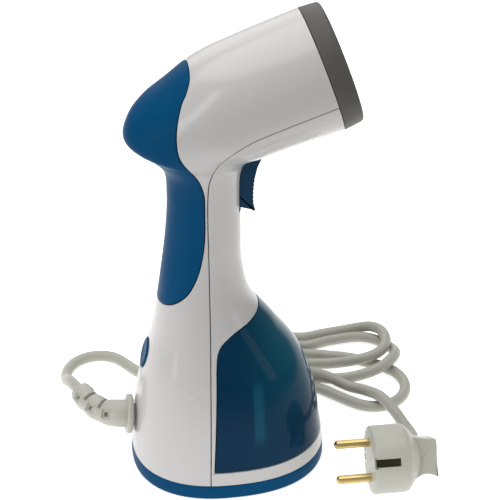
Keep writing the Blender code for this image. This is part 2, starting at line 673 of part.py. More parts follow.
def make_trigger(parent):
    x, z = trigger_pivot()
    hinge = empty("trigger_axis", parent, Matrix.Translation((x, 0, z)))
    half = TRIGGER_WIDTH / 2
    local = [(a - x, b - z) for a, b in trigger_outline()]
    body = raw(prism(local, -half, half))
    combine(body, "DIFFERENCE", rod(TRIGGER_PIN + GAP, (0, -0.03, 0), (0, 0.03, 0)))
    pocket = SPRING_POCKET / 2
    combine(body, "DIFFERENCE", block((-9 * MM, -pocket, -4.6 * MM), (4.4 * MM, pocket, 9 * MM)))
    named(body, "trigger", hinge, (0.01, 0.09, 0.2), 0.4)
    reach = PIN_REACH - GAP
    finish("trigger_pin", rod(TRIGGER_PIN, (x, -reach, z), (x, reach, z)), parent, None, STEEL, 0.3, 1.0)
    turns = 4
    coil = TRIGGER_PIN + GAP + SPRING_WIRE + 0.4 * MM
    width = 1.25 * MM * turns
    count = turns * SMALL_POINTS
    points = [(x + coil * math.sin(2 * math.pi * i / SMALL_POINTS), width * (i / count - 0.5),
               z - coil * math.cos(2 * math.pi * i / SMALL_POINTS)) for i in range(count + 1)]
    points.insert(0, (x - 7 * MM, -width / 2, z - coil))
    points.append((x + 2.4 * MM, width / 2, z - coil - 0.2 * MM))
    tube("trigger_spring", points, SPRING_WIRE / 2, parent, STEEL, 0.3, 1.0, 0)
    back = x - 6.3 * MM
    switch = raw(block((back - 7 * MM, -3.2 * MM, z - 21 * MM), (back, 3.2 * MM, z - 10 * MM)))
    combine(switch, "UNION", block((back - 1 * MM, -1 * MM, z - 17 * MM), (back + 0.9 * MM, 1 * MM,
                                                                           z - 14 * MM)))
    named(switch, "microswitch", parent, BLACK, 0.5)


def rear_frame(level):
    """Frame on the middle of the rear face at a height: X points straight out of the face."""
    rear = section_at(level)[1]
    lean = (section_at(level - 6 * MM)[1] - section_at(level + 6 * MM)[1]) / (12 * MM)
    out = Vector((-1, 0, -lean)).normalized()
    turn = out.to_track_quat("X", "Z").to_matrix().to_4x4()
    return Matrix.Translation((rear, 0, level)) @ turn


def oval(half_wide, half_high, low, high, points=ROUND_POINTS):
    """Oval bar along X, wide in Y and high in Z."""
    bm = bmesh.new()
    outline = [bm.verts.new((low, half_wide * math.cos(2 * math.pi * i / points),
                             half_high * math.sin(2 * math.pi * i / points))) for i in range(points)]
    face = bm.faces.new(outline)
    moved = bmesh.ops.extrude_face_region(bm, geom=[face])["geom"]
    verts = [item for item in moved if isinstance(item, bmesh.types.BMVert)]
    bmesh.ops.translate(bm, verts=verts, vec=(high - low, 0, 0))
    return bm


def make_power_button(parent):
    frame = empty("button_axis", parent, rear_frame(BUTTON_LEVEL))
    button = raw(oval(BUTTON_WIDTH / 2, BUTTON_HEIGHT / 2, -BUTTON_DEPTH, BUTTON_PROUD))
    combine(button, "UNION", oval(BUTTON_WIDTH / 2 + 1.2 * MM, BUTTON_HEIGHT / 2 + 1.2 * MM,
                                  -BUTTON_DEPTH, -BUTTON_DEPTH + 1.5 * MM))
    named(button, "power_button", frame, BLUE, 0.35)
    deep = -BUTTON_DEPTH - BUTTON_TRAVEL - 2 * GAP
    switch = raw(block((deep - 11 * MM, -5.5 * MM, -6 * MM), (deep, 5.5 * MM, 6 * MM)))
    for y in (-3 * MM, 3 * MM):
        combine(switch, "UNION", block((deep - 14 * MM, y - 0.4 * MM, -2 * MM), (deep - 10 * MM,
                                                                                 y + 0.4 * MM, 2 * MM)))
    named(switch, "power_switch", frame, BLACK, 0.5)


def make_base(parent):
    """Blue bottom cover with the lead's clamp posts, and its screws."""
    bottom = list(bell_row(*BELL[0]))
    bottom[1] = bottom[3] = SKIRT_HEIGHT - GAP
    low = np.array(bottom)
    low[0] += SKIRT_FLARE
    low[2] -= SKIRT_FLARE
    low[4] += SKIRT_FLARE
    foot = low.copy()
    foot[0] -= 1.0 * MM
    foot[2] += 1.0 * MM
    foot[4] -= 1.0 * MM
    foot[1] = foot[3] = 0.0
    low[1] = low[3] = 1.0 * MM
    cover = raw(loft([foot, low, np.array(bottom)]))
    inner = np.array(bottom) - np.array([WALL, 0, -WALL, 0, WALL, 0])
    floor = inner.copy()
    floor[1] = floor[3] = BASE_PLATE
    inner[1] = inner[3] = SKIRT_HEIGHT + 5 * MM
    combine(cover, "DIFFERENCE", loft([floor, inner]))
    spots = base_screw_spots()
    for x, y in spots:
        combine(cover, "UNION", rod(BOSS_RADIUS + 0.8 * MM, (x, y, BASE_PLATE / 2), (x, y,
                                                                                     SKIRT_HEIGHT - GAP)))
    for x, y in spots:
        combine(cover, "DIFFERENCE", rod(SCREW_HEAD + 0.6 * MM, (x, y, -MM), (x, y, BASE_PLATE + 2.6 * MM)))
        combine(cover, "DIFFERENCE", rod(SCREW_RADIUS + GAP, (x, y, 0), (x, y, SKIRT_HEIGHT + MM)))
    top = RELIEF_HEIGHT + CORD_DIAMETER / 2
    for side in (-1, 1):
        y = side * CLAMP_SPREAD
        combine(cover, "UNION", rod(BOSS_RADIUS, (CLAMP_X, y, BASE_PLATE / 2), (CLAMP_X, y, top)))
        combine(cover, "DIFFERENCE", rod(SCREW_RADIUS + GAP, (CLAMP_X, y, top - 9 * MM), (CLAMP_X, y,
                                                                                          top + MM)))
    named(cover, "base_cover", parent, BLUE, 0.35)
    for count, (x, y) in enumerate(spots, 1):
        start = BASE_PLATE + 2.6 * MM - GAP - SCREW_HEAD_HEIGHT
        screw(f"base_screw_{count}", (x, y, start), (x, y, TANK_FLOOR - 5 * MM), parent)
    bar = raw(block((CLAMP_X - 3 * MM, -CLAMP_SPREAD - 3.5 * MM, top + GAP),
                    (CLAMP_X + 3 * MM, CLAMP_SPREAD + 3.5 * MM, top + GAP + 3 * MM)))
    for count, side in enumerate((-1, 1), 1):
        y = side * CLAMP_SPREAD
        combine(bar, "DIFFERENCE", rod(SCREW_RADIUS + GAP, (CLAMP_X, y, top), (CLAMP_X, y, top + 9 * MM)))
        screw(f"clamp_screw_{count}", (CLAMP_X, y, top + 2 * GAP + 3 * MM + SCREW_HEAD_HEIGHT),
              (CLAMP_X, y, top - 6 * MM), parent)
    named(bar, "cord_clamp", parent, BLACK, 0.5)


def base_screw_spots():
    rear = side_at(REAR_BOSS_X, BASE_BOSS_TOP) - WALL - 1.2 * MM
    front = side_at(FRONT_BOSS_X, SKIRT_HEIGHT) - WALL - 1.2 * MM
    return [(REAR_BOSS_X, -rear), (REAR_BOSS_X, rear), (FRONT_BOSS_X, -front), (FRONT_BOSS_X, front)]


def make_tank(parent):
    """See-through tank with its filler cap, outlet valve and seal."""
    carrier = empty("tank_slide", parent)
    tank = combine(raw(loft(BODY_ROWS)), "INTERSECT", prism(tank_region(), -BASE_WIDTH, BASE_WIDTH))
    inside = combine(raw(loft(inset_rows(BODY_ROWS, TANK_WALL))), "INTERSECT",
                     prism(tank_region(-TANK_WALL), -BASE_WIDTH, BASE_WIDTH))
    face = -tank_rear_at(CAP_HEIGHT)
    recess = face + CAP_RECESS
    combine(inside, "DIFFERENCE", rod(CAP_RADIUS + GAP + TANK_WALL, (-0.03, 0, CAP_HEIGHT),
                                      (recess + TANK_WALL, 0, CAP_HEIGHT), ROUND_POINTS))
    combine(tank, "DIFFERENCE", inside)
    combine(tank, "DIFFERENCE", rod(CAP_RADIUS + GAP, (-0.03, 0, CAP_HEIGHT), (recess, 0, CAP_HEIGHT),
                                    ROUND_POINTS))
    combine(tank, "DIFFERENCE", rod(CAP_PLUG + GAP, (-0.03, 0, CAP_HEIGHT), (recess + 2 * TANK_WALL, 0,
                                                                             CAP_HEIGHT),
                                    ROUND_POINTS))
    rear = -tank_rear_at(OUTLET_HEIGHT)
    combine(tank, "UNION", rod(OUTLET_RADIUS, (rear - OUTLET_LENGTH, 0, OUTLET_HEIGHT),
                               (rear + TANK_WALL / 2, 0, OUTLET_HEIGHT), ROUND_POINTS))
    combine(tank, "DIFFERENCE", rod(OUTLET_BORE, (rear - 0.02, 0, OUTLET_HEIGHT),
                                    (rear + 2 * TANK_WALL, 0, OUTLET_HEIGHT)))
    named(tank, "water_tank", carrier, TANK_BLUE, 0.1)

    back = recess - GAP
    front = recess + TANK_WALL + 1.5 * MM
    cap = turned(((back - CAP_FLANGE, 0), (back - CAP_FLANGE, CAP_RADIUS), (back, CAP_RADIUS), (back,
                                                                                                CAP_PLUG),
                  (front, CAP_PLUG - 0.8 * MM), (front, 0)))
    axis = empty("cap_axis", carrier, Matrix.Translation((0, 0, CAP_HEIGHT)))
    cap = raw(cap)
    combine(cap, "UNION", block((back - CAP_FLANGE - 1.2 * MM, -1.2 * MM, -6.5 * MM),
                                (back - CAP_FLANGE / 2, 1.2 * MM, 6.5 * MM)))
    named(cap, "tank_cap", axis, GREY, 0.5)

    middle = Matrix.Translation((0, 0, OUTLET_HEIGHT))
    valve_axis = empty("valve_axis", carrier, middle)
    tip = rear - OUTLET_LENGTH + 1 * MM
    disc = rear + TANK_WALL + 2 * GAP
    valve = turned(((tip, 0), (tip, VALVE_STEM), (disc, VALVE_STEM), (disc, OUTLET_BORE + 1.2 * MM),
                    (disc + 1.2 * MM, OUTLET_BORE + 1.2 * MM), (disc + 1.2 * MM, VALVE_STEM),
                    (disc + 12 * MM, VALVE_STEM), (disc + 12 * MM, 0)), SMALL_POINTS)
    finish("outlet_valve", valve, valve_axis, None, PALE, 0.5)
    start = disc + 1.2 * MM + VALVE_TRAVEL + 3 * GAP
    turns, coil = 4, VALVE_STEM + 2.0 * MM
    points = [(start + 1.5 * MM * i / SMALL_POINTS, coil * math.cos(2 * math.pi * i / SMALL_POINTS),
               OUTLET_HEIGHT + coil * math.sin(2 * math.pi * i / SMALL_POINTS)) for i in range(turns * SMALL_POINTS)]
    tube("valve_spring", points, SPRING_WIRE / 2, carrier, STEEL, 0.3, 1.0, 0)
    low = rear - OUTLET_LENGTH + 1.5 * MM
    seal = turned(((low, OUTLET_RADIUS + GAP), (low, SOCKET_BORE - GAP), (low + 1.4 * MM, SOCKET_BORE - GAP),
                   (low + 1.4 * MM, OUTLET_RADIUS + GAP)))
    finish("outlet_seal", seal, carrier, middle, SILICONE, 0.6)
    high = -TANK_REAR - SLIDE_GAP - LINER - 2 * GAP
    end = rear - OUTLET_LENGTH - 1.2 * MM
    socket = turned(((high, SOCKET_BORE), (high, SOCKET_BORE + 2 * MM), (end - 2 * MM, SOCKET_BORE + 2 * MM),
                     (end - 2 * MM, HOSE_RADIUS), (end - 6 * MM, HOSE_RADIUS), (end - 6 * MM, 0), (end, 0),
                     (end, SOCKET_BORE)))
    finish("tank_socket", socket, parent, middle, BLACK, 0.5)
    return end - 6 * MM


def tank_rear_at(height):
    """Distance of the tank's rear wall behind the middle, at a height."""
    top_x, top_z = (value * MM for value in TANK_TOP[0])
    share = (height - TANK_FLOOR) / (top_z - TANK_FLOOR)
    return TANK_REAR + (-top_x - TANK_REAR) * share


def make_head(parent):
    """Ring, steam plate, boiler and what heats and guards it."""
    frame = empty("head_axis", parent, Matrix.Translation((HEAD_X, 0,
                                                           HEAD_Z)) @ Matrix.Rotation(-HEAD_TILT, 4, "Y"))
    radius = HEAD_RADIUS
    inside = RING_OPENING + 2 * MM + SPIGOT_WALL
    plate_back = RING_LENGTH - RING_LIP - PLATE_THICKNESS - GAP
    ring = turned(((GAP, radius), (RING_LENGTH - RING_ROUND, radius - 0.9 * MM),
                   (RING_LENGTH - 0.6 * MM, radius - 1.5 * MM), (RING_LENGTH, radius - RING_EDGE),
                   (RING_LENGTH, RING_OPENING + 0.8 * MM), (RING_LENGTH - RING_LIP, RING_OPENING),
                   (RING_LENGTH - RING_LIP, RING_OPENING + 2 * MM), (-RING_SPIGOT, RING_OPENING + 2 * MM),
                   (-RING_SPIGOT, inside), (GAP, inside)), 2 * ROUND_POINTS)
    finish("nozzle_ring", ring, frame, None, GREY, 0.4)
    wide = RING_OPENING + 2 * MM - GAP
    plate = raw(rod(wide, (plate_back, 0, 0), (plate_back + PLATE_THICKNESS, 0, 0), 2 * ROUND_POINTS))
    spots = [(0.0, 0.0)] + [(PLATE_HOLE_RING * math.cos(2 * math.pi * i / STEAM_HOLES),
                             PLATE_HOLE_RING * math.sin(2 * math.pi * i / STEAM_HOLES)) for i in range(STEAM_HOLES)]
    for y, z in spots:
        combine(plate, "DIFFERENCE", rod(STEAM_HOLE, (0, y, z), (0.02, y, z)))
    named(plate, "steam_plate", frame, CAST, 0.25, 1.0)

    front = -BOILER_SETBACK
    rear = front - BOILER_LENGTH
    groove = ELEMENT_RADIUS + GAP
    floor = rear + 2 * groove
    profile = [(rear, 0), (rear, ELEMENT_RING - groove), (floor, ELEMENT_RING - groove), (floor,
                                                                                          ELEMENT_RING + groove),
               (rear, ELEMENT_RING + groove), (rear, BOILER_RADIUS), (front, BOILER_RADIUS), (front,
                                                                                              CHAMBER_RADIUS),
               (front - CHAMBER_DEPTH, CHAMBER_RADIUS - MM), (front - CHAMBER_DEPTH, 0)]
    boiler = raw(turned(profile))
    inlet = (-NIPPLE_DROP, rear - 5 * MM)
    combine(boiler, "UNION", rod(HOSE_RADIUS, (inlet[1], 0, inlet[0]), (rear + 2 * MM, 0, inlet[0])))
    combine(boiler, "DIFFERENCE", rod(1 * MM, (inlet[1] - MM, 0, inlet[0]), (front - CHAMBER_DEPTH + MM, 0,
                                                                             inlet[0])))
    cover_back = front + 2 * GAP + SEAL_THICKNESS
    cover_front = cover_back + 2 * MM
    turns = [math.radians(angle) for angle in (90, 210, 330)]
    screws = [(BOILER_SCREW_RING * math.cos(turn), BOILER_SCREW_RING * math.sin(turn)) for turn in turns]
    for y, z in screws:
        combine(boiler, "DIFFERENCE", rod(SCREW_RADIUS + GAP, (front - 8 * MM, y, z), (front + MM, y, z)))
    named(boiler, "boiler", frame, CAST, 0.5, 1.0)
    bore = 2.4 * MM
    stub = plate_back - GAP - 0.5 * MM
    cover = raw(turned(((cover_back, bore), (cover_back, BOILER_RADIUS), (cover_front, BOILER_RADIUS),
                        (cover_front, bore + 1.6 * MM), (stub, bore + 1.6 * MM), (stub, bore))))
    for y, z in screws:
        combine(cover, "DIFFERENCE", rod(SCREW_RADIUS + GAP, (cover_back - MM, y, z), (cover_front + MM, y,
                                                                                       z)))
    named(cover, "boiler_cover", frame, CAST, 0.4, 1.0)
    for count, (y, z) in enumerate(screws, 1):
        screw(f"boiler_screw_{count}", (cover_front + GAP + SCREW_HEAD_HEIGHT, y, z), (front - 6 * MM, y,
                                                                                       z), frame)
    low = front + GAP
    seal = turned(((low, CHAMBER_RADIUS + 0.3 * MM), (low, BOILER_SCREW_RING - 2 * MM),
                   (low + SEAL_THICKNESS, BOILER_SCREW_RING - 2 * MM), (low + SEAL_THICKNESS,
                                                                        CHAMBER_RADIUS + 0.3 * MM)))
    finish("boiler_seal", seal, frame, None, SILICONE, 0.6)

    arc = [math.radians(110 + 320 * i / 24) for i in range(25)]
    middle = rear + groove + 0.2 * MM
    points = [(middle, ELEMENT_RING * math.cos(turn), ELEMENT_RING * math.sin(turn)) for turn in arc]
    points.insert(0, (rear - 6 * MM, points[0][1], points[0][2]))
    points.append((rear - 6 * MM, points[-1][1], points[-1][2]))
    tube("heating_element", points, ELEMENT_RADIUS - 0.4 * MM, frame, STEEL, 0.4, 1.0)
    disc = rod(THERMOSTAT_RADIUS, (rear - GAP - 5 * MM, 0, 4.5 * MM), (rear - GAP, 0, 4.5 * MM), ROUND_POINTS)
    finish("thermostat", disc, frame, None, BLACK, 0.5)
    high = 4.5 * MM + THERMOSTAT_RADIUS + 2.1 * MM
    fuse = rod(1.6 * MM, (rear - GAP - 1.6 * MM, -3.5 * MM, high), (rear - GAP - 1.6 * MM, 3.5 * MM, high))
    finish("thermal_fuse", fuse, frame, None, PALE, 0.4)
    shield = turned(((rear - 2 * MM, BOILER_RADIUS + 2 * MM), (rear - 2 * MM, BOILER_RADIUS + 2.8 * MM),
                     (-RING_SPIGOT - GAP, BOILER_RADIUS + 2.8 * MM), (-RING_SPIGOT - GAP,
                                                                      BOILER_RADIUS + 2 * MM)))
    finish("heat_shield", shield, frame, None, PALE, 0.7)
    end = frame.matrix_local @ Vector((inlet[1] - GAP, 0, inlet[0]))
    away = frame.matrix_local.to_3x3() @ Vector((-1, 0, 0))
    sensor = frame.matrix_local @ Vector((rear - GAP - 5 * MM - 3 * GAP, 0, 4.5 * MM))
    return end, away, sensor


def make_water_path(parent, socket_end, boiler_end, boiler_away):
    """Pump beside the lead, with a hose to it from the tank and one up to the boiler."""
    body = raw(rod(PUMP_RADIUS, (PUMP_X, PUMP_Y, PUMP_LOW), (PUMP_X, PUMP_Y, PUMP_HIGH), ROUND_POINTS))
    combine(body, "UNION", rod(HOSE_RADIUS, (PUMP_X, PUMP_Y, PUMP_LOW - 4 * MM), (PUMP_X, PUMP_Y,
                                                                                  PUMP_HIGH + 5 * MM)))
    named(body, "pump_body", parent, PALE, 0.5)
    coil = turned(((PUMP_LOW + 5 * MM, PUMP_RADIUS + GAP), (PUMP_LOW + 5 * MM, PUMP_COIL),
                   (PUMP_HIGH - 8 * MM, PUMP_COIL),
                   (PUMP_HIGH - 8 * MM, PUMP_RADIUS + GAP)))
    matrix = Matrix.Translation((PUMP_X, PUMP_Y, 0)) @ Matrix.Rotation(-math.pi / 2, 4, "Y")
    finish("pump_coil", coil, parent, matrix, COPPER, 0.4)
    start = Vector((socket_end - 2 * GAP, 0, OUTLET_HEIGHT))
    low = Vector((PUMP_X, PUMP_Y, PUMP_LOW - 4 * MM - 2 * GAP))
    drop = Vector((0, 0, 3 * MM))
    path = [start, start - Vector((2 * MM, 0, 0)), start + Vector((-3.2 * MM, 2.5 * MM, -MM)),
            (PUMP_X, 8.5 * MM, 24 * MM), low - drop * 1.8 - Vector((0, 1.5 * MM, 0)), low - drop * 0.8, low]
    tube("inlet_hose", smooth_path(path, 2 * MM), HOSE_RADIUS, parent, SILICONE, 0.6, resolution=1)
    top = Vector((PUMP_X, PUMP_Y, PUMP_HIGH + 5 * MM + 2 * GAP))
    pivot_x, pivot_z = trigger_pivot()
    lane = -18.5 * MM
    path = [top, top + Vector((0, 0, 9 * MM)), (lane - 3 * MM, 4 * MM, 108 * MM), (lane, 0, 125 * MM),
            (lane, 0, 150 * MM), (lane, 0, 170 * MM), (lane + 4 * MM, 0, pivot_z + 4 * MM),
            (lane + 16 * MM, 0, pivot_z + 17 * MM), boiler_end + boiler_away * 8 * MM, boiler_end]
    tube("outlet_hose", smooth_path(path, 6 * MM), HOSE_RADIUS, parent, SILICONE, 0.6, resolution=1)


def make_electrics(parent, sensor):
    board = block((BOARD_X, -24 * MM, 43 * MM), (BOARD_X + 1.6 * MM, -6.5 * MM, 76 * MM))
    finish("circuit_board", board, parent, None, GREEN, 0.5)
    terminal = block((-38 * MM, -26 * MM, 18 * MM), (-26 * MM, TERMINAL_Y, 28 * MM))
    finish("terminal_block", terminal, parent, None, PALE, 0.5)
    start = (CLAMP_X - 4.5 * MM, 0, RELIEF_HEIGHT)
    path = [start, (CLAMP_X, 0, RELIEF_HEIGHT), (-36 * MM, -1.5 * MM, 28 * MM), (-33.5 * MM, -5 * MM,
                                                                                 25.5 * MM),
            (-33 * MM, TERMINAL_Y + 3.5 * MM, 23.5 * MM), (-33 * MM, TERMINAL_Y + 2 * GAP, 23.2 * MM)]
    tube("lead_tail", smooth_path(path, 3 * MM), CORD_DIAMETER / 2 - GAP, parent, PALE, 0.5)
    x = BOARD_X + 5 * MM
    path = [(x, -8 * MM, 77 * MM), (x + 4 * MM, -6 * MM, 92 * MM), (-7 * MM, -2 * MM, 112 * MM), (-6 * MM,
                                                                                                  0,
                                                                                                  130 * MM),
            (-9 * MM, 0, 150 * MM), (-12.5 * MM, -4.8 * MM, 163 * MM), (-12.5 * MM, -4.8 * MM, 180 * MM),
            (-4 * MM, -5 * MM, 200 * MM), Vector(sensor) + Vector((-9 * MM, -3 * MM, -3 * MM)), sensor]
    tube("heater_wire", smooth_path(path, 6 * MM), 1.1 * MM, parent, BLACK, 0.6, resolution=1)


def relief_path():
    """Middle line of the strain relief from the rear wall to its tip."""
    frame = rear_frame(RELIEF_HEIGHT)
    rest = [tuple(frame @ Vector((along, 0, 0))) for along in (2 * MM, 8 * MM)]
    return rest + [tuple(value * MM for value in point) for point in RELIEF_ROUTE]


def make_lead(parent):
    """Strain relief, the free cord and the plug lying beside the body."""
    points = smooth_path(relief_path(), 4 * MM)
    count = len(points)
    radii = [1 - 0.34 * i / (count - 1) for i in range(count)]
    flange = 4 * GAP
    collar = turned(((-WALL - 3.4 * MM, 0), (-WALL - 3.4 * MM, RELIEF_NECK + 2.4 * MM),
                     (-WALL - 5 * GAP, RELIEF_NECK + 2.4 * MM), (-WALL - 5 * GAP, RELIEF_NECK),
                     (flange, RELIEF_NECK), (flange, RELIEF_COLLAR), (flange + 2.6 * MM, RELIEF_COLLAR),
                     (flange + 3.4 * MM, RELIEF_COLLAR - 0.8 * MM), (flange + 3.4 * MM, 0)))
    matrix = rear_frame(RELIEF_HEIGHT)
    body = raw(collar, matrix)
    sleeve = tube("sleeve", points, RELIEF_RADIUS, None, PALE, resolution=3, radii=radii)
    bpy.context.view_layer.update()
    mesh = bpy.data.meshes.new_from_object(sleeve.evaluated_get(bpy.context.evaluated_depsgraph_get()))
    bpy.data.objects.remove(sleeve)
    bm = bmesh.new()
    bm.from_mesh(mesh)
    bmesh.ops.remove_doubles(bm, verts=bm.verts, dist=1e-6)
    combine(body, "UNION", bm)
    named(body, "strain_relief", parent, PALE, 0.5, matrix=matrix)

    route = [tuple(value * MM for value in point) for point in CORD_ROUTE]
    tube("mains_cord", smooth_path(route, CORD_STEP, CORD_STEP), CORD_DIAMETER / 2, parent, PALE, 0.5)

    seat = Matrix.Translation((PLUG_X, PLUG_Y, PLUG_RADIUS + 0.1 * MM)) @ Matrix.Rotation(PLUG_TURN, 4, "Z")
    frame = empty("plug_axis", parent, seat @ Matrix.Rotation(-PLUG_ROLL, 4, "X"))
    drum = turned(((0, 0), (0, PLUG_RADIUS - 0.8 * MM), (0.8 * MM, PLUG_RADIUS), (PLUG_DRUM - 2 * MM,
                                                                                  PLUG_RADIUS),
                   (PLUG_DRUM, PLUG_RADIUS - 1.2 * MM), (PLUG_DRUM + 5.6 * MM, PLUG_RADIUS - 8 * MM),
                   (PLUG_DRUM + 5.6 * MM, 0)), 32)
    body = raw(drum)
    combine(body, "UNION", block((PLUG_DRUM - 2 * MM, -7 * MM, -11 * MM), (PLUG_GRIP, 7 * MM, 10 * MM)))
    combine(body, "UNION", rod(PLUG_SLEEVE, (PLUG_SLEEVE_X, 4 * MM, 0), (PLUG_SLEEVE_X, PLUG_SLEEVE_TOP,
                                                                         0), ROUND_POINTS))
    slot = EARTH_SLOT / 2
    for side in (-1, 1):
        edge = side * (PLUG_RADIUS - 2.4 * MM)
        low, high = sorted((edge, side * (PLUG_RADIUS + 2 * MM)))
        combine(body, "DIFFERENCE", block((-MM, low, -slot), (13.5 * MM, high, slot)))
        pin = side * PIN_SPACING / 2
        combine(body, "DIFFERENCE", rod(PIN_RADIUS + GAP, (-MM, 0, pin), (6 * MM, 0, pin)))
    named(body, "plug_body", frame, PALE, 0.4)
    for count, side in enumerate((-1, 1), 1):
        pin = side * PIN_SPACING / 2
        profile = ((-PIN_LENGTH, 0), (-PIN_LENGTH, PIN_RADIUS - 1.4 * MM), (1.2 * MM - PIN_LENGTH,
                                                                            PIN_RADIUS),
                   (5.5 * MM, PIN_RADIUS), (5.5 * MM, 0))
        finish(f"plug_pin_{count}", turned(profile, 16), frame, Matrix.Translation((0, 0, pin)), BRASS,
               0.25, 1.0)
        face = side * (PLUG_RADIUS - 2.4 * MM + GAP)
        low, high = sorted((face, face + side * MM))
        finish(f"earth_clip_{count}", block((0.3 * MM, low, -slot + GAP), (13 * MM, high, slot - GAP)),
               frame, None,
               BRASS, 0.3, 1.0)


def build():
    remove_everything()
    assembly = empty("steamer", None, Matrix.Translation((-origin_shift(), 0, 0)))
    make_shells(assembly)
    make_trigger(assembly)
    make_power_button(assembly)
    make_base(assembly)
    socket_end = make_tank(assembly)
    boiler_end, boiler_away, sensor = make_head(assembly)
    make_water_path(assembly, socket_end, boiler_end, boiler_away)
    make_electrics(assembly, sensor)
    make_lead(assembly)


build()
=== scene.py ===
import json
import math

import bmesh
import bpy
import numpy as np
from mathutils import Matrix, Vector

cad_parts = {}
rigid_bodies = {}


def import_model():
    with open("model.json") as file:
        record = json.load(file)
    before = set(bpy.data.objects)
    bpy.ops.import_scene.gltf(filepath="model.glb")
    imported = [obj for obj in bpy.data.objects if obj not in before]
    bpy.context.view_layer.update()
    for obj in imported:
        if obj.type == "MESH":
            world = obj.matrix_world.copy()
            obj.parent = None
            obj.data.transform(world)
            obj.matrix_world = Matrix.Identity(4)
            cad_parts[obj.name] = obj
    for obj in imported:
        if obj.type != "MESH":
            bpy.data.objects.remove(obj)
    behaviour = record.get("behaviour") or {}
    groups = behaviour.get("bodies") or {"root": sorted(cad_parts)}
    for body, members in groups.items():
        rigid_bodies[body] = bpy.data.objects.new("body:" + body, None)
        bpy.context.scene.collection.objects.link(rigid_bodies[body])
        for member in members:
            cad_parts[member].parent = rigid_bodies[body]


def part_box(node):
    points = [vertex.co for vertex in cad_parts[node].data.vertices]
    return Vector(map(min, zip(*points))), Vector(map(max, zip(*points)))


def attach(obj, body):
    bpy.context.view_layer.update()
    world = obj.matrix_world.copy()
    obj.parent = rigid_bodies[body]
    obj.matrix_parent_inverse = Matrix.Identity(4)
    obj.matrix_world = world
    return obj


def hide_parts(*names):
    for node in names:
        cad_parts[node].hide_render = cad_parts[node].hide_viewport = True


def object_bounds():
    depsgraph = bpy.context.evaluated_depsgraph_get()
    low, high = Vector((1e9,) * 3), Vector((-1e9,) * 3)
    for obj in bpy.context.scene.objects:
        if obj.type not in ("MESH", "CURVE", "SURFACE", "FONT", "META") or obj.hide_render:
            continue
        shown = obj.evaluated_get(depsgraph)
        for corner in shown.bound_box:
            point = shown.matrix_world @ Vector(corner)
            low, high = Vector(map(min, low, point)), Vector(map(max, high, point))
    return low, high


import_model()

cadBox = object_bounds()
mm = 0.001
baseLow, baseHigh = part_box("base_cover")
originX = (baseLow[0] + baseHigh[0]) / 2

# the camera, then the lead, because the rest is judged against them

view = {"turn": -9.88, "rise": 31.63, "distance": 0.717, "targetX": 13.45, "targetZ": 128.72, "lens": 98.3}


def makeCamera():
    turn, rise = math.radians(view["turn"]), math.radians(view["rise"])
    target = Vector((view["targetX"] * mm + originX, 0, view["targetZ"] * mm))
    away = Vector((math.sin(turn) * math.cos(rise), -math.cos(turn) * math.cos(rise), math.sin(rise)))
    data = bpy.data.cameras.new("camera")
    data.lens = view["lens"]
    data.sensor_width = 36
    data.clip_start = 0.05
    camera = bpy.data.objects.new("camera", data)
    camera.location = target + away * view["distance"]
    camera.rotation_euler = (-away).to_track_quat("-Z", "Y").to_euler()
    bpy.context.scene.collection.objects.link(camera)
    bpy.context.scene.camera = camera


makeCamera()
print("camera placed")


# points in millimetres from the base's middle, moved into the frame in metres
def world(points):
    return np.asarray(points, float) * mm + (originX, 0, 0)


def newMesh(name, points, faces, sharp=40):
    mesh = bpy.data.meshes.new(name)
    mesh.from_pydata([tuple(point) for point in points], [], [tuple(int(i) for i in face) for face in faces])
    mesh.update()
    mesh.shade_smooth()
    mesh.set_sharp_from_angle(angle=math.radians(sharp))
    return mesh


def addPiece(name, data, body, material, replaced=()):
    piece = bpy.data.objects.new(name, data)
    bpy.context.scene.collection.objects.link(piece)
    data.materials.clear()
    data.materials.append(material)
    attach(piece, body)
    if replaced:
        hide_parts(*replaced)
    return piece


# shader maths


# one socket of a node tree; arithmetic on it adds the nodes
class Flow:
    def __init__(self, tree, socket):
        self.tree = tree
        self.socket = socket

    def node(self, kind, settings=None, inputs=None, output=0):
        return addNode(self.tree, kind, settings, inputs, output)

    def math(self, operation, *others):
        inputs = {i: value for i, value in enumerate((self, *others))}
        return self.node("ShaderNodeMath", {"operation": operation}, inputs)

    def __add__(self, other):
        return self.math("ADD", other)

    def __radd__(self, other):
        return self.math("ADD", other)

    def __sub__(self, other):
        return self.math("SUBTRACT", other)

    def __rsub__(self, other):
        return addNode(self.tree, "ShaderNodeMath", {"operation": "SUBTRACT"}, {0: other, 1: self})

    def __mul__(self, other):
        return self.math("MULTIPLY", other)

    def __rmul__(self, other):
        return self.math("MULTIPLY", other)

    def __neg__(self):
        return self.math("MULTIPLY", -1.0)

    # 0 below low, 1 above high, smooth between
    def ramp(self, low, high):
        return self.node("ShaderNodeMapRange", {"interpolation_type": "SMOOTHSTEP"},
                         {"Value": self, "From Min": low, "From Max": high})

    # colour mix with this socket as the factor
    def mix(self, first, second):
        return self.node("ShaderNodeMix", {"data_type": "RGBA"}, {0: self, 6: first, 7: second}, 2)


def addNode(tree, kind, settings=None, inputs=None, output=0):
    node = tree.nodes.new(kind)
    for key, value in (settings or {}).items():
        setattr(node, key, value)
    for key, value in (inputs or {}).items():
        if isinstance(value, Flow):
            tree.links.new(value.socket, node.inputs[key])
        elif isinstance(value, tuple) and len(value) == 3 and node.inputs[key].type == "RGBA":
            node.inputs[key].default_value = (*value, 1.0)
        else:
            node.inputs[key].default_value = value
    return Flow(tree, node.outputs[output])


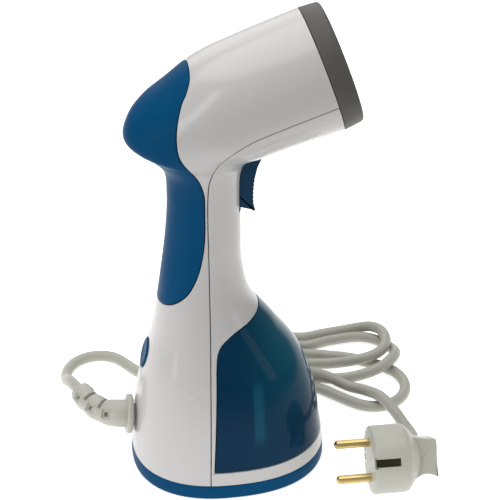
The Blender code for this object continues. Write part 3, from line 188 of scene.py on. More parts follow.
# a Principled material: build returns what varies, fixed gives the constants
def newMaterial(name, build, **fixed):
    material = bpy.data.materials.new(name)
    material.use_nodes = True
    tree = material.node_tree
    shader = tree.nodes["Principled BSDF"]
    for key, value in fixed.items():
        shader.inputs[key.replace("_", " ")].default_value = value
    place = addNode(tree, "ShaderNodeTexCoord", output=3)
    for key, value in build(tree, place).items():
        if isinstance(value, Flow):
            tree.links.new(value.socket, shader.inputs[key])
        elif isinstance(value, tuple):
            shader.inputs[key].default_value = (*value, 1.0)
        else:
            shader.inputs[key].default_value = value
    return material


def noise(place, scale, detail=2.0, rough=0.5):
    return place.node("ShaderNodeTexNoise", {}, {"Vector": place, "Scale": scale, "Detail": detail,
                                                 "Roughness": rough})


def axis(place, index):
    return place.node("ShaderNodeSeparateXYZ", {}, {0: place}, index)


def bump(height, strength=0.2, distance=0.0005):
    return height.node("ShaderNodeBump", {}, {"Height": height, "Strength": strength, "Distance": distance})


def shades(colour, low, high):
    return tuple(value * low for value in colour), tuple(min(1.0, value * high) for value in colour)


# moulded plastic: soft colour drift, fine moulded grain and faint handling marks
def plastic(name, colour, rough=0.3, grain=900.0, bumpStrength=0.05, coat=0.0, coatRough=0.08, spread=0.05,
            warm=(1.0, 1.0, 1.0), specular=0.5):
    def build(tree, place):
        cloud = noise(place, 14.0, 3.0).ramp(0.3, 0.7)
        dark, light = shades(colour, 1 - spread, 1 + spread)
        light = tuple(value * share for value, share in zip(light, warm))
        smudge = noise(place, 55.0, 5.0, 0.65).ramp(0.45, 0.8)
        scratch = noise(place.node("ShaderNodeMapping", {},
                                   {"Vector": place, "Scale": (30.0, 30.0, 260.0)}), 6.0, 4.0)
        roughness = rough + smudge * 0.05 + scratch * 0.04
        height = noise(place, grain, 2.0) * 0.6 + noise(place, 120.0, 2.0) * 0.4
        return {"Base Color": cloud.mix(dark, light), "Roughness": roughness,
                "Normal": bump(height, bumpStrength, 0.0002)}
    return newMaterial(name, build, Coat_Weight=coat, Coat_Roughness=coatRough, IOR=1.5,
                       Specular_IOR_Level=specular)


# metal with brushed or cast grain and a faint film
def metal(name, colour, rough=0.3, grain=400.0, streak=(1.0, 1.0, 1.0), strength=0.1):
    def build(tree, place):
        run = place.node("ShaderNodeMapping", {}, {"Vector": place, "Scale": streak})
        fine = noise(run, grain, 3.0, 0.6)
        film = noise(place, 60.0, 3.0).ramp(0.35, 0.75)
        dark, light = shades(colour, 0.82, 1.08)
        return {"Base Color": film.mix(dark, light), "Roughness": rough + fine * 0.12 + film * 0.06,
                "Normal": bump(fine, strength, 0.0002)}
    return newMaterial(name, build, Metallic=1.0)


def rubber(name, colour, rough=0.55, grain=700.0, strength=0.12):
    def build(tree, place):
        cloud = noise(place, 35.0, 4.0).ramp(0.3, 0.75)
        fine = noise(place, grain, 3.0, 0.6)
        dark, light = shades(colour, 0.9, 1.05)
        return {"Base Color": cloud.mix(dark, light), "Roughness": rough + cloud * 0.08,
                "Normal": bump(fine, strength, 0.0003)}
    return newMaterial(name, build)


# the lead: a loose hank on the floor beside the body

lead = {"radius": 3.25, "low": 3.6, "high": 10.6}


# points of one turn about a centre, from one angle to another, with their heights
def fold(x, y, radius, first, last, heights):
    turns = [math.radians(first + (last - first) * i / (len(heights) - 1)) for i in range(len(heights))]
    return [(x + radius * math.cos(turn), y + radius * math.sin(turn), height)
            for turn, height in zip(turns, heights)]


low, high = lead["low"], lead["high"]
leadRoute = [
    (-80.5, 23.2, 31), (-84.2, 36, 27.5), (-86, 47, 21.5), (-86.8, 58, 13.5), (-86.9, 67, 7),
    *fold(-68.0, 74, 19, 170, 40, [low] * 6),
    (-45, 74, low), (-37, 65, low), (-26, 56, low), (-13, 51.6, low), (2, 50.6, low), (20, 50.3, low),
    (36, 48.5, low), (49, 45, low), (60, 38.5, low), (69.5, 29.5, low),
    *fold(93.5, 34.5, 20.5, -138, 48, [low] * 8),
    (98, 57, low), (87, 64, low), (73, 69, low), (57, 73.8, low), (40, 81, low), (22, 89.2, low),
    (6, 95.6, low),
    *fold(-8, 78, 20, 90, 270, [low] * 8),
    (8, 57.6, low), (26, 57.3, low), (44, 55.5, low), (58, 50.5, low), (71, 45.2, low), (83, 42.6, 5),
    *fold(94, 63.8, 21.5, -86, 90, [7.8, 10.2, high, 7.8, 4.4, low, low, low]),
    (78, 84, low), (62, 81, low), (45, 88, low), (28, 96, low), (13, 102.8, 4),
    *fold(-1, 85, 20.3, 90, 270, [6, 8.8, high, high, 8.6, 5.6, low, low]),
    (14, 64.6, low), (32, 64.7, low), (50, 64, low), (65, 61.4, low), (78, 57.8, 5.4), (88.5, 54, 9),
    *fold(91.5, 73.6, 20.4, -72, 90, [high, high, high, high, high, 8.8, 5.6, low]),
    (77, 92.3, low), (62, 90.5, low), (46, 96.2, low), (30, 104, low), (14, 110, low),
    *fold(0, 83, 28.9, 90, 262, [low, low, 4.4, 7.6, high, high, high, high, high, 10]),
    (12, 54.1, 9.8), (30, 53.6, 9.8), (46, 51, 9.8), (58, 46, 9.8), (69, 40, 8.6), (79, 33, 6),
    (87, 24.5, 8.2), (93.5, 14.5, high), (99, 4.5, 7.8), (103, -6, 4.4), (105, -15, 3.8),
    (104, -23.5, 4), (102.4, -30.4, 5.7), (101.9, -34.9, 8.3),
]


# smooth curve through rows, read at the given marks along them
def hermite(rows, marks):
    rows = np.asarray(rows, float)
    slope = np.gradient(rows, axis=0)
    marks = np.clip(np.asarray(marks, float), 0, len(rows) - 1)
    i = np.minimum(marks.astype(int), len(rows) - 2)
    t = (marks - i)[..., None]
    return ((2 * t**3 - 3 * t**2 + 1) * rows[i] + (t**3 - 2 * t**2 + t) * slope[i]
            + (3 * t**2 - 2 * t**3) * rows[i + 1] + (t**3 - t**2) * slope[i + 1])


def smoothPath(points, spacing):
    fine = hermite(points, np.linspace(0, len(points) - 1, 12 * len(points)))
    step = np.linalg.norm(np.diff(fine, axis=0), axis=1)
    run = np.concatenate([[0], np.cumsum(step)])
    marks = np.linspace(0, run[-1], max(2, round(run[-1] / spacing)))
    return np.stack([np.interp(marks, run, fine[:, i]) for i in range(3)], axis=1), run[-1]


# pale vinyl sheath: slightly mottled, with a soft sheen and faint pressed waviness
def leadVinyl(name):
    def build(tree, place):
        cloud = noise(place, 26.0, 4.0, 0.6).ramp(0.3, 0.75)
        dirt = noise(place, 90.0, 5.0, 0.7).ramp(0.6, 0.85)
        colour = cloud.mix((0.36, 0.36, 0.31), (0.42, 0.42, 0.37))
        colour = (dirt * 0.25).mix(colour, (0.42, 0.4, 0.34))
        height = noise(place, 150.0, 3.0) * 0.5 + noise(place, 1100.0, 2.0) * 0.5
        return {"Base Color": colour, "Roughness": 0.42 + cloud * 0.12, "Normal": bump(height, 0.15, 0.0003)}
    return newMaterial(name, build, Coat_Weight=0.08, Coat_Roughness=0.3)


vinyl = leadVinyl("leadVinyl")


def makeLead():
    path, length = smoothPath(leadRoute, 3.0)
    curve = bpy.data.curves.new("mainsLead", "CURVE")
    curve.dimensions = "3D"
    curve.bevel_depth = lead["radius"] * mm
    curve.bevel_resolution = 7
    curve.use_fill_caps = True
    spline = curve.splines.new("POLY")
    spline.points.add(len(path) - 1)
    for point, place in zip(spline.points, world(path)):
        point.co = (*place, 1)
    piece = addPiece("mainsLead", curve, "housing", vinyl, ("mains_cord",))
    return piece, length * mm


leadPiece, leadLength = makeLead()
print("lead laid:", round(leadLength, 3), "m")


# the body's surface: sections from the base to the front of the head, in millimetres

form = {
    "baseHalf": 53.8, "baseWide": 46.3, "neckFront": 8.5, "neckRear": 30.8, "neckHalf": 18.5,
    "neckTop": 175.0, "headRadius": 32.1, "tilt": 19.4, "headX": 48.6, "headZ": 229.2, "seam": 0.22,
    "roll": 0.5,
}
bell = (
    (9.3, 1.0, 1.0, 1.0, 2.35), (25.0, 0.955, 0.948, 0.975, 2.3), (45.0, 0.88, 0.82, 0.89, 2.25),
    (65.0, 0.715, 0.647, 0.727, 2.2), (85.0, 0.418, 0.414, 0.473, 2.1),
    (105.0, 0.118, 0.246, 0.218, 2.05), (125.0, 0.0135, 0.116, 0.055, 2.0),
)
head = (
    (-52.9, -1.01, -96.5, -0.155, 0.69), (-50.5, -0.94, -102.5, 0.146, 0.77),
    (-47.9, -0.905, -96.6, 0.445, 0.85), (-44.7, -0.903, -86.5, 0.642, 0.92),
    (-41.2, -0.916, -74.2, 0.763, 0.965), (-33.4, -0.93, -55.1, 0.944, 0.99),
    (-18.8, -0.95, -32.5, 0.988, 1.0), (0.0, -1.0, 0.0, 1.0, 1.0),
)
panelOutline = (
    (-17.0, 246.0), (-17.4, 235.8), (-20.0, 229.4), (-23.0, 224.3), (-25.7, 216.2), (-26.5, 207.0),
    (-24.5, 197.7), (-16.4, 184.8), (-13.1, 175.5), (-12.5, 167.0), (-12.8, 149.0), (-14.6, 136.0),
    (-17.6, 125.7), (-22.3, 117.0), (-28.0, 111.0), (-33.5, 107.0), (-40.0, 103.5),
)
partingLine = (
    (-15.8, 0.0), (-15.5, 20.0), (-14.0, 62.0), (-11.9, 99.0), (-11.0, 130.0), (-11.0, 168.0),
    (-9.6, 184.0), (-4.0, 196.5), (6.0, 205.3), (20.0, 211.6), (50.0, 222.2), (90.0, 236.3),
)
tankTop = (
    (-10.0, 77.2), (-8.9, 85.3), (-6.5, 89.9), (-2.6, 93.0), (2.7, 95.5), (10.3, 97.2), (17.6, 98.5),
    (40.0, 103.0),
)
tank = {"floor": 17.8, "rear": -13.6, "wall": 1.2}
trigger = {"x": 5.0, "z": 185.01, "half": 7.5, "slotHalf": 8.0, "slotLow": 156.7, "slotHigh": 187.6}
tilt = math.radians(form["tilt"])


def headPlace(along, away):
    return (form["headX"] + along * math.cos(tilt) - away * math.sin(tilt),
            form["headZ"] + along * math.sin(tilt) + away * math.cos(tilt))


def makeRows():
    rows = []
    for z, front, rear, side, exponent in bell:
        rows.append((form["neckFront"] + (form["baseHalf"] - form["neckFront"]) * front, z,
                     -form["neckRear"] - (form["baseHalf"] - form["neckRear"]) * rear, z,
                     form["neckHalf"] + (form["baseWide"] - form["neckHalf"]) * side, exponent))
    front, rear, half, top = form["neckFront"], -form["neckRear"], form["neckHalf"], form["neckTop"]
    rows.append((front, 145, rear, 145, half, 2))
    rows.append((front, top - 12, rear + 1.4, top - 10, half, 2))
    rows.append((front, top, rear, top + 6, half + 1.2, 2))
    for lowAlong, lowShare, highAlong, highShare, width in head:
        rows.append((*headPlace(lowAlong, lowShare * form["headRadius"]),
                     *headPlace(highAlong, highShare * form["headRadius"]), width * form["headRadius"], 2))
    return np.array(rows, float)


bodyRows = makeRows()
lastRow = len(bodyRows) - 1.0
rowMarks = np.linspace(0, lastRow, 3401)
rowTable = hermite(bodyRows, rowMarks)


# place on the body: mark runs up the sections, turn goes round from the front
def surface(mark, turn):
    row = hermite(bodyRows, mark)
    share = 2 / row[..., 5]
    along = np.sign(np.cos(turn)) * np.abs(np.cos(turn)) ** share
    side = np.sign(np.sin(turn)) * np.abs(np.sin(turn)) ** share
    x = (row[..., 0] + row[..., 2]) / 2 + along * (row[..., 0] - row[..., 2]) / 2
    z = (row[..., 1] + row[..., 3]) / 2 + along * (row[..., 1] - row[..., 3]) / 2
    return np.stack([x, row[..., 4] * side, z], axis=-1)


def slopes(mark, turn):
    up = (surface(np.minimum(mark + 0.01, lastRow), turn) - surface(np.maximum(mark - 0.01, 0), turn))
    up = up / (np.minimum(mark + 0.01, lastRow) - np.maximum(mark - 0.01, 0))[..., None]
    around = (surface(mark, turn + 0.02) - surface(mark, turn - 0.02)) / 0.04
    return up, around


def unit(vectors):
    return vectors / np.maximum(np.linalg.norm(vectors, axis=-1, keepdims=True), 1e-9)


def outward(mark, turn):
    up, around = slopes(mark, turn)
    return unit(np.cross(around, up))


# mark of each side view point, and its share along the chord from front to rear
def locate(points):
    x, z = np.asarray(points, float).T
    reachX, reachZ = rowTable[:, 2] - rowTable[:, 0], rowTable[:, 3] - rowTable[:, 1]
    length = reachX**2 + reachZ**2
    found = []
    for px, pz in zip(x, z):
        dx, dz = px - rowTable[:, 0], pz - rowTable[:, 1]
        across = reachX * dz - reachZ * dx
        hits = np.nonzero(across[:-1] * across[1:] <= 0)[0]
        best = None
        for i in hits:
            t = across[i] / (across[i] - across[i + 1] + 1e-12)
            share = [(reachX[k] * dx[k] + reachZ[k] * dz[k]) / length[k] for k in (i, i + 1)]
            share = share[0] + (share[1] - share[0]) * t
            if best is None or abs(share - 0.5) < abs(best[1] - 0.5):
                best = (rowMarks[i] + (rowMarks[i + 1] - rowMarks[i]) * t, share)
        found.append(best or (0.0, 9.0 if px > 0 else -9.0))
    return np.array(found)


# smooth side view line read at even steps
def fineLine(points, step):
    fine = hermite(points, np.linspace(0, len(points) - 1, 30 * len(points)))
    return evenly(fine, step)


def evenly(points, step):
    points = np.asarray(points, float)
    run = np.concatenate([[0], np.cumsum(np.linalg.norm(np.diff(points, axis=0), axis=1))])
    marks = np.linspace(0, run[-1], max(3, int(run[-1] / step)))
    return np.stack([np.interp(marks, run, points[:, i]) for i in range(points.shape[1])], axis=1)


# where a side view line crosses the body's +Y side: marks and turns at even steps of length
def onBody(line, step=0.8):
    found = locate(line)
    inside = (found[:, 1] > 0) & (found[:, 1] < 1)
    first, last = np.nonzero(inside)[0][[0, -1]]
    ends = []
    for i, j in ((first, first - 1), (last, last + 1)):
        if 0 <= j < len(found) and abs(found[j, 1]) < 3:
            edge = 0.0 if found[j, 1] < 0 else 1.0
            t = (edge - found[i, 1]) / (found[j, 1] - found[i, 1])
            ends.append((found[i, 0] + (found[j, 0] - found[i, 0]) * t, edge))
        else:
            ends.append(None)
    kept = list(map(tuple, found[first:last + 1]))
    if ends[0]:
        kept.insert(0, ends[0])
    if ends[1]:
        kept.append(ends[1])
    kept = np.array(kept)
    along = 1 - 2 * kept[:, 1]
    exponent = hermite(bodyRows, kept[:, 0])[:, 5]
    turn = np.arccos(np.clip(np.sign(along) * np.abs(along) ** (exponent / 2), -1, 1))
    return evenCurve(np.stack([kept[:, 0], turn], axis=1), step)


# a curve of (mark, turn) read again at even steps along the surface
def evenCurve(curve, step):
    pairs = [np.linspace(a, b, 8, endpoint=False) for a, b in zip(curve[:-1], curve[1:])]
    fine = np.concatenate(pairs + [curve[-1:]])
    place = surface(fine[:, 0], fine[:, 1])
    run = np.concatenate([[0], np.cumsum(np.linalg.norm(np.diff(place, axis=0), axis=1))])
    marks = np.linspace(0, run[-1], max(3, int(run[-1] / step)))
    return np.stack([np.interp(marks, run, fine[:, i]) for i in range(2)], axis=1)


# the curve moved along the surface, to its left (1) or right (-1)
def shifted(curve, inward, distance, closed):
    mark, turn = curve.T
    place = surface(mark, turn)
    if closed:
        along = np.roll(place, -1, axis=0) - np.roll(place, 1, axis=0)
    else:
        along = np.gradient(place, axis=0)
    up, around = slopes(mark, turn)
    aside = inward * unit(np.cross(outward(mark, turn), unit(along)))
    a, b, c = (np.sum(p * q, axis=1) for p, q in ((up, up), (up, around), (around, around)))
    d, e = np.sum(up * aside, axis=1) * distance, np.sum(around * aside, axis=1) * distance
    flat = a * c - b * b
    return np.stack([mark + (c * d - b * e) / flat, turn + (a * e - b * d) / flat], axis=1), aside


# collects points, normals and faces of one piece of the body's surface
class Skin:
    def __init__(self):
        self.points, self.normals, self.faces, self.count = [], [], [], 0

    def grid(self, points, normals, closed=False):
        rows, columns = points.shape[:2]
        index = np.arange(rows * columns).reshape(rows, columns) + self.count
        if closed:
            index = np.concatenate([index, index[:, :1]], axis=1)
        quads = np.stack([index[:-1, :-1], index[:-1, 1:], index[1:, 1:], index[1:, :-1]],
                         axis=-1).reshape(-1, 4)
        self.points.append(points.reshape(-1, 3))
        self.normals.append(normals.reshape(-1, 3))
        self.faces.append(quads)
        self.count += rows * columns

    # surface between two edges given as functions of the mark
    def fill(self, low, high, first, last, columns=56, rows=1.0, extra=()):
        marks = np.linspace(low, high, max(4, int((high - low) * 22 * rows)))
        extra = [value for value in extra if low < value < high]
        marks = np.unique(np.concatenate([marks, extra]))
        share = np.linspace(0, 1, columns)
        start, end = first(marks)[:, None], last(marks)[:, None]
        turn = start + (end - start) * share
        mark = np.broadcast_to(marks[:, None], turn.shape)
        self.grid(surface(mark, turn), outward(mark, turn))

    # rolled edge along a curve, with its wall; returns where the flat surface takes over
    def edge(self, curve, inward, closed=False, deep=2.0, roll=None, gap=None):
        roll = form["roll"] if roll is None else roll
        gap = form["seam"] if gap is None else gap
        points, normals, inner = [], [], None
        for angle in np.radians([0, 18, 36, 54, 72, 90]):
            aside = roll * (1 - math.sin(angle))
            moved, direction = shifted(curve, inward, gap + aside, closed)
            inner = moved if inner is None else inner
            normal = outward(*moved.T)
            points.append(surface(*moved.T) - normal * roll * (1 - math.cos(angle)))
            normals.append(normal * math.cos(angle) - direction * math.sin(angle))
        points.append(points[-1] - normal * deep)
        normals.append(normals[-1])
        self.grid(np.array(points), np.array(normals), closed)
        return inner, points[-1]

    # straight wall across the body between a ring's +Y half and its mirror
    def bridge(self, ring, aside, columns=10):
        share = np.linspace(1, -1, columns)[None, :, None]
        points = np.repeat(ring[:, None, :], columns, axis=1)
        points[..., 1] = points[..., 1] * share[..., 0]
        along = np.gradient(ring[:, [0, 2]], axis=0)
        normal = unit(np.stack([along[:, 1], np.zeros(len(ring)), -along[:, 0]], axis=1)) * aside
        self.grid(points, np.repeat(normal[:, None, :], columns, axis=1))

    def mesh(self, name):
        points, normals = np.concatenate(self.points), np.concatenate(self.normals)
        faces = np.concatenate(self.faces)
        corner = points[faces]
        facing = np.cross(corner[:, 2] - corner[:, 0], corner[:, 3] - corner[:, 1])
        wrong = np.sum(facing * normals[faces].mean(axis=1), axis=1) < 0
        faces[wrong] = faces[wrong][:, ::-1]
        mesh = bpy.data.meshes.new(name)
        mesh.from_pydata(world(points).tolist(), [], faces.tolist())
        mesh.shade_smooth()
        mesh.normals_split_custom_set_from_vertices(unit(normals).tolist())
        mesh.update()
        return mesh


# the curve's other half, read back, about the front (0) or the rear (pi)
def mirrored(curve, about):
    other = curve[::-1].copy()
    other[:, 1] = 2 * about - other[:, 1]
    return other


# turn as a function of the mark, from a curve that climbs the body, or from its widest corner up
def edgeOf(curve, fromCorner=False):
    climb = curve[int(np.argmax(curve[:, 1])):] if fromCorner else curve
    climb = climb[np.argsort(climb[:, 0])]
    return lambda mark: np.interp(mark, climb[:, 0], climb[:, 1])


def opposite(edge, about):
    return lambda mark: 2 * about - edge(mark)


def markAt(z):
    return float(np.interp(z, rowTable[:2000, 1], rowMarks[:2000]))


rearTurn = math.pi
panelCurve = onBody(fineLine(panelOutline, 0.1)[::-1])
panelLoop = np.concatenate([panelCurve[:-1], mirrored(panelCurve, rearTurn)[:-1]])
partCurve = onBody(fineLine(partingLine, 0.1))
partCurve = partCurve[partCurve[:, 0] > 0]
tankLine = np.concatenate([evenly([(60.0, tank["floor"]), (tank["rear"], tank["floor"])], 0.1)[:-1],
                           evenly([(tank["rear"], tank["floor"]), tankTop[0]], 0.1)[:-1],
                           fineLine(tankTop, 0.1)])
tankCurve = onBody(tankLine, 0.7)
tankLoop = np.concatenate([tankCurve[:-1], mirrored(tankCurve, 0)[:-1]])
print("curves:", len(panelCurve), len(partCurve), len(tankCurve))


# turn of the trigger window's side, outside its rolled edge
def slotSide(marks):
    row = hermite(bodyRows, marks)
    wide = trigger["slotHalf"] + form["roll"]
    return np.arcsin(np.clip((wide / row[:, 4]) ** (row[:, 5] / 2), 0, 1))


# window for the trigger: up one side and across the top, on the +Y half
def slotCurve():
    low = markAt(trigger["slotLow"])
    high = locate([(20.6, 187.4)])[0, 0]
    marks = np.linspace(low, high, 40)
    row = hermite(bodyRows, marks)
    turn = np.arcsin(np.clip((trigger["slotHalf"] / row[:, 4]) ** (row[:, 5] / 2), 0, 1))
    side = np.stack([marks, turn], axis=1)
    bottom = np.stack([np.full(8, low), np.linspace(0, turn[0], 8, endpoint=False)], axis=1)
    top = np.stack([np.full(8, high), np.linspace(turn[-1], 0, 9)[1:]], axis=1)
    return evenCurve(np.concatenate([bottom, side, top]), 0.6)


shellWhite = plastic("shellWhite", (0.50, 0.493, 0.486), rough=0.22, bumpStrength=0.03, coat=0.2,
                     spread=0.015)
panelBlue = plastic("panelBlue", (0.001, 0.058, 0.15), rough=0.36, grain=1500.0, bumpStrength=0.10,
                    spread=0.06,
                    specular=0.04)


# smoked see-through tank with painted light: painted shade makes it darker low down and to the rear, and
# painted light makes it greener and lighter towards the light
def tankTint(name):
    def build(tree, place):
        x, z = axis(place, 0), axis(place, 2)
        # painted light: 1 towards the front and high up, where the light falls, and 0 low down and to the
        # rear, which is painted shade
        paintedLight = x.ramp(-0.012, 0.040) * z.ramp(0.030, 0.100)
        cloud = noise(place, 22.0, 3.0).ramp(0.3, 0.75)
        # deep is the tank's dark tone, with random cloud, left as painted shade where the painted light fades
        deep = cloud.mix((0.0008, 0.024, 0.062), (0.0012, 0.032, 0.075))
        # painted light: a lighter green-blue mixed in towards the light
        colour = paintedLight.mix(deep, (0.006, 0.105, 0.150))
        wall = x.ramp(0.0005, 0.0025) * (1.0 - x.ramp(0.0055, 0.0085))
        wall = wall * z.ramp(0.030, 0.040) * (1.0 - z.ramp(0.062, 0.072))
        colour = (wall * 0.35).mix(colour, (0.012, 0.12, 0.2))
        smudge = noise(place, 70.0, 5.0, 0.65).ramp(0.5, 0.85)
        height = noise(place, 60.0, 2.0)
        return {"Base Color": colour, "Roughness": 0.06 + smudge * 0.05,
                "Normal": bump(height, 0.015, 0.0003)}
    return newMaterial(name, build, IOR=1.5, Specular_IOR_Level=0.07)


tankBlue = tankTint("tankBlue")


panel = {"wall": 1.6, "roll": 0.6}


def makePanel():
    skin = Skin()
    inner, ring = skin.edge(panelLoop, -1, True, panel["wall"], roll=panel["roll"])
    half = inner[:len(panelCurve)]
    edge = edgeOf(half)
    low, high = half[:, 0].min(), half[:, 0].max()
    skin.fill(low, high, edge, opposite(edge, rearTurn), 72, 1.4, half[:, 0])
    return addPiece("gripPanel", skin.mesh("gripPanel"), "housing", panelBlue, ("grip_panel",))


shells = {"panelWall": 1.9, "panelRoll": 0.35, "bayWall": 2.0, "slotWall": 7.0}


def makeRearShell():
    skin = Skin()
    hole, _ = skin.edge(panelLoop, 1, True, shells["panelWall"], roll=shells["panelRoll"])
    part, _ = skin.edge(partCurve, -1)
    skin.edge(mirrored(partCurve, rearTurn), -1)
    hole = hole[:len(panelCurve)]
    holeEdge, partEdge = edgeOf(hole), edgeOf(part)
    low, high = hole[:, 0].min(), hole[:, 0].max()
    skin.fill(0, low, partEdge, opposite(partEdge, rearTurn), 96, 1.4)
    skin.fill(low, high, partEdge, holeEdge, 30, 1.4, hole[:, 0])
    skin.fill(low, high, opposite(holeEdge, rearTurn), opposite(partEdge, rearTurn), 30, 1.4, hole[:, 0])
    skin.fill(high, lastRow, partEdge, opposite(partEdge, rearTurn), 96, 1.6)
    return addPiece("rearShell", skin.mesh("rearShell"), "housing", shellWhite, ("rear_shell",))


def makeFrontShell():
    skin = Skin()
    part, _ = skin.edge(partCurve, 1)
    skin.edge(mirrored(partCurve, 0), 1)
    bay, ring = skin.edge(tankLoop, -1, True, shells["bayWall"])
    skin.bridge(ring[:len(tankCurve)], 1)
    half = slotCurve()
    slotLoop = np.concatenate([half[:-1], mirrored(half, 0)[:-1]])
    slot, _ = skin.edge(slotLoop, -1, True, shells["slotWall"], gap=0.0)
    bay, slot = bay[:len(tankCurve)], slot[:len(half)]
    partEdge, bayEdge, slotEdge = edgeOf(part), edgeOf(bay, True), slotSide
    bayLow, bayHigh = bay[:, 0].min(), bay[:, 0].max()
    slotLow, slotHigh = slot[:, 0].min(), slot[:, 0].max()
    skin.fill(0, bayLow, opposite(partEdge, 0), partEdge, 96, 1.4)
    skin.fill(bayLow, bayHigh, bayEdge, partEdge, 10, 1.4, bay[:, 0])
    skin.fill(bayLow, bayHigh, opposite(partEdge, 0), opposite(bayEdge, 0), 10, 1.4, bay[:, 0])
    skin.fill(bayHigh, slotLow, opposite(partEdge, 0), partEdge, 80, 1.4)
    skin.fill(slotLow, slotHigh, slotEdge, partEdge, 30, 1.6, slot[:, 0])
    skin.fill(slotLow, slotHigh, opposite(partEdge, 0), opposite(slotEdge, 0), 30, 1.6, slot[:, 0])
    skin.fill(slotHigh, lastRow, opposite(partEdge, 0), partEdge, 80, 1.6)
    return addPiece("frontShell", skin.mesh("frontShell"), "housing", shellWhite, ("front_shell",))


def makeTank():
    skin = Skin()
    inner, ring = skin.edge(tankLoop, 1, True, tank["wall"])
    skin.bridge(ring[:len(tankCurve)], -1)
    inner = inner[:len(tankCurve)]
    edge = edgeOf(inner, True)
    skin.fill(inner[:, 0].min(), inner[:, 0].max(), opposite(edge, 0), edge, 90, 1.6, inner[:, 0])
    return addPiece("waterTank", skin.mesh("waterTank"), "tank", tankBlue, ("water_tank",))


makePanel()
makeRearShell()
makeFrontShell()
makeTank()
print("body skinned")


# solid builders for the smaller pieces, all in millimetres until they are placed


# one mesh from several (points, faces) sets, moved by a matrix, in the frame in metres
def solidMesh(name, matrix, sets, sharp=38):
    points, faces, count = [], [], 0
    for part, cells in sets:
        part = np.asarray(part, float)
        points.append(part)
        faces += [tuple(i + count for i in face) for face in cells]
        count += len(part)
    points = np.concatenate(points)
    turn = np.array(matrix.to_3x3())
    points = points @ turn.T + np.array(matrix.translation)
    mesh = newMesh(name, world(points), faces, sharp)
    bm = bmesh.new()
    bm.from_mesh(mesh)
    bmesh.ops.recalc_face_normals(bm, faces=bm.faces)
    bm.to_mesh(mesh)
    bm.free()
    mesh.shade_smooth()
    mesh.set_sharp_from_angle(angle=math.radians(sharp))
    return mesh


# faces over rings of points, with fans or polygons over the ends
def loops(rings, closedEnds=(True, True), closed=False):
    count = len(rings[0])
    points = np.concatenate([np.asarray(ring, float) for ring in rings])
    faces = []
    total = len(rings)
    for i in range(total if closed else total - 1):
        a, b = i * count, ((i + 1) % total) * count
        for j in range(count):
            k = (j + 1) % count
            faces.append((a + j, a + k, b + k, b + j))
    if not closed:
        if closedEnds[0]:
            faces.append(tuple(range(count - 1, -1, -1)))
        if closedEnds[1]:
            faces.append(tuple(range((total - 1) * count, total * count)))
    return points, faces


# profile of (x, radius) turned about X; a closed profile makes a ring
def turnedSet(profile, count=96, closed=True):
    angle = np.linspace(0, 2 * math.pi, count, endpoint=False)
    rings = [np.stack([np.full(count, x), radius * np.cos(angle), radius * np.sin(angle)], axis=1)
             for x, radius in profile]
    return loops(rings, closed=closed)


def grown(outline, amount):
    points = np.asarray(outline, float)
    area = np.sum(points[:, 0] * np.roll(points[:, 1], -1) - np.roll(points[:, 0], -1) * points[:, 1])
    turn = math.copysign(1.0, area)
    before, after = unit(points - np.roll(points, 1, axis=0)), unit(np.roll(points, -1, axis=0) - points)
    first = np.stack([before[:, 1], -before[:, 0]], axis=1) * turn
    second = np.stack([after[:, 1], -after[:, 0]], axis=1) * turn
    middle = first + second
    share = np.maximum(np.sum(middle * first, axis=1), 0.6)
    return points + middle / share[:, None] * amount


# outline in the XZ plane given a thickness along Y, with rolled rims
def pillow(outline, half, roll):
    rings = []
    angles = np.radians([0, 22, 45, 67, 90])
    stations = [(half - roll + roll * math.cos(a), -roll * (1 - math.sin(a))) for a in angles]
    stations.insert(0, (half, -roll - 0.25))
    stations += [(-y, inset) for y, inset in reversed(stations)]
    for y, inset in stations:
        flat = grown(outline, inset)
        rings.append(np.stack([flat[:, 0], np.full(len(flat), y), flat[:, 1]], axis=1))
    return loops(rings)


def boxSet(low, high):
    x0, y0, z0 = low
    x1, y1, z1 = high
    return loops([[(x, y0, z0), (x, y1, z0), (x, y1, z1), (x, y0, z1)] for x in (x0, x1)])


# cut one piece by closed sets, keeping its own material
def cutBy(piece, sets, matrix, operation="DIFFERENCE"):
    for i, item in enumerate(sets):
        tool = bpy.data.objects.new("tool", solidMesh("tool", matrix, [item]))
        bpy.context.scene.collection.objects.link(tool)
        change = piece.modifiers.new("cut", "BOOLEAN")
        change.operation = operation
        change.object = tool
        bpy.context.view_layer.update()
        shaped = piece.evaluated_get(bpy.context.evaluated_depsgraph_get())
        mesh = bpy.data.meshes.new_from_object(shaped)
        piece.modifiers.clear()
        piece.data = mesh
        bpy.data.objects.remove(tool)
    piece.data.shade_smooth()
    piece.data.set_sharp_from_angle(angle=math.radians(38))


ringGrey = plastic("ringGrey", (0.085, 0.083, 0.078), rough=0.45, grain=1400.0, bumpStrength=0.10,
                   spread=0.08,
                   specular=0.25)
triggerBlue = plastic("triggerBlue", (0.001, 0.032, 0.078), rough=0.36, grain=1400.0, bumpStrength=0.08,
                      spread=0.08,
                      specular=0.15)
palePlastic = plastic("palePlastic", (0.44, 0.44, 0.385), rough=0.36, grain=1000.0, bumpStrength=0.06,
                      coat=0.15,
               coatRough=0.2, spread=0.04)
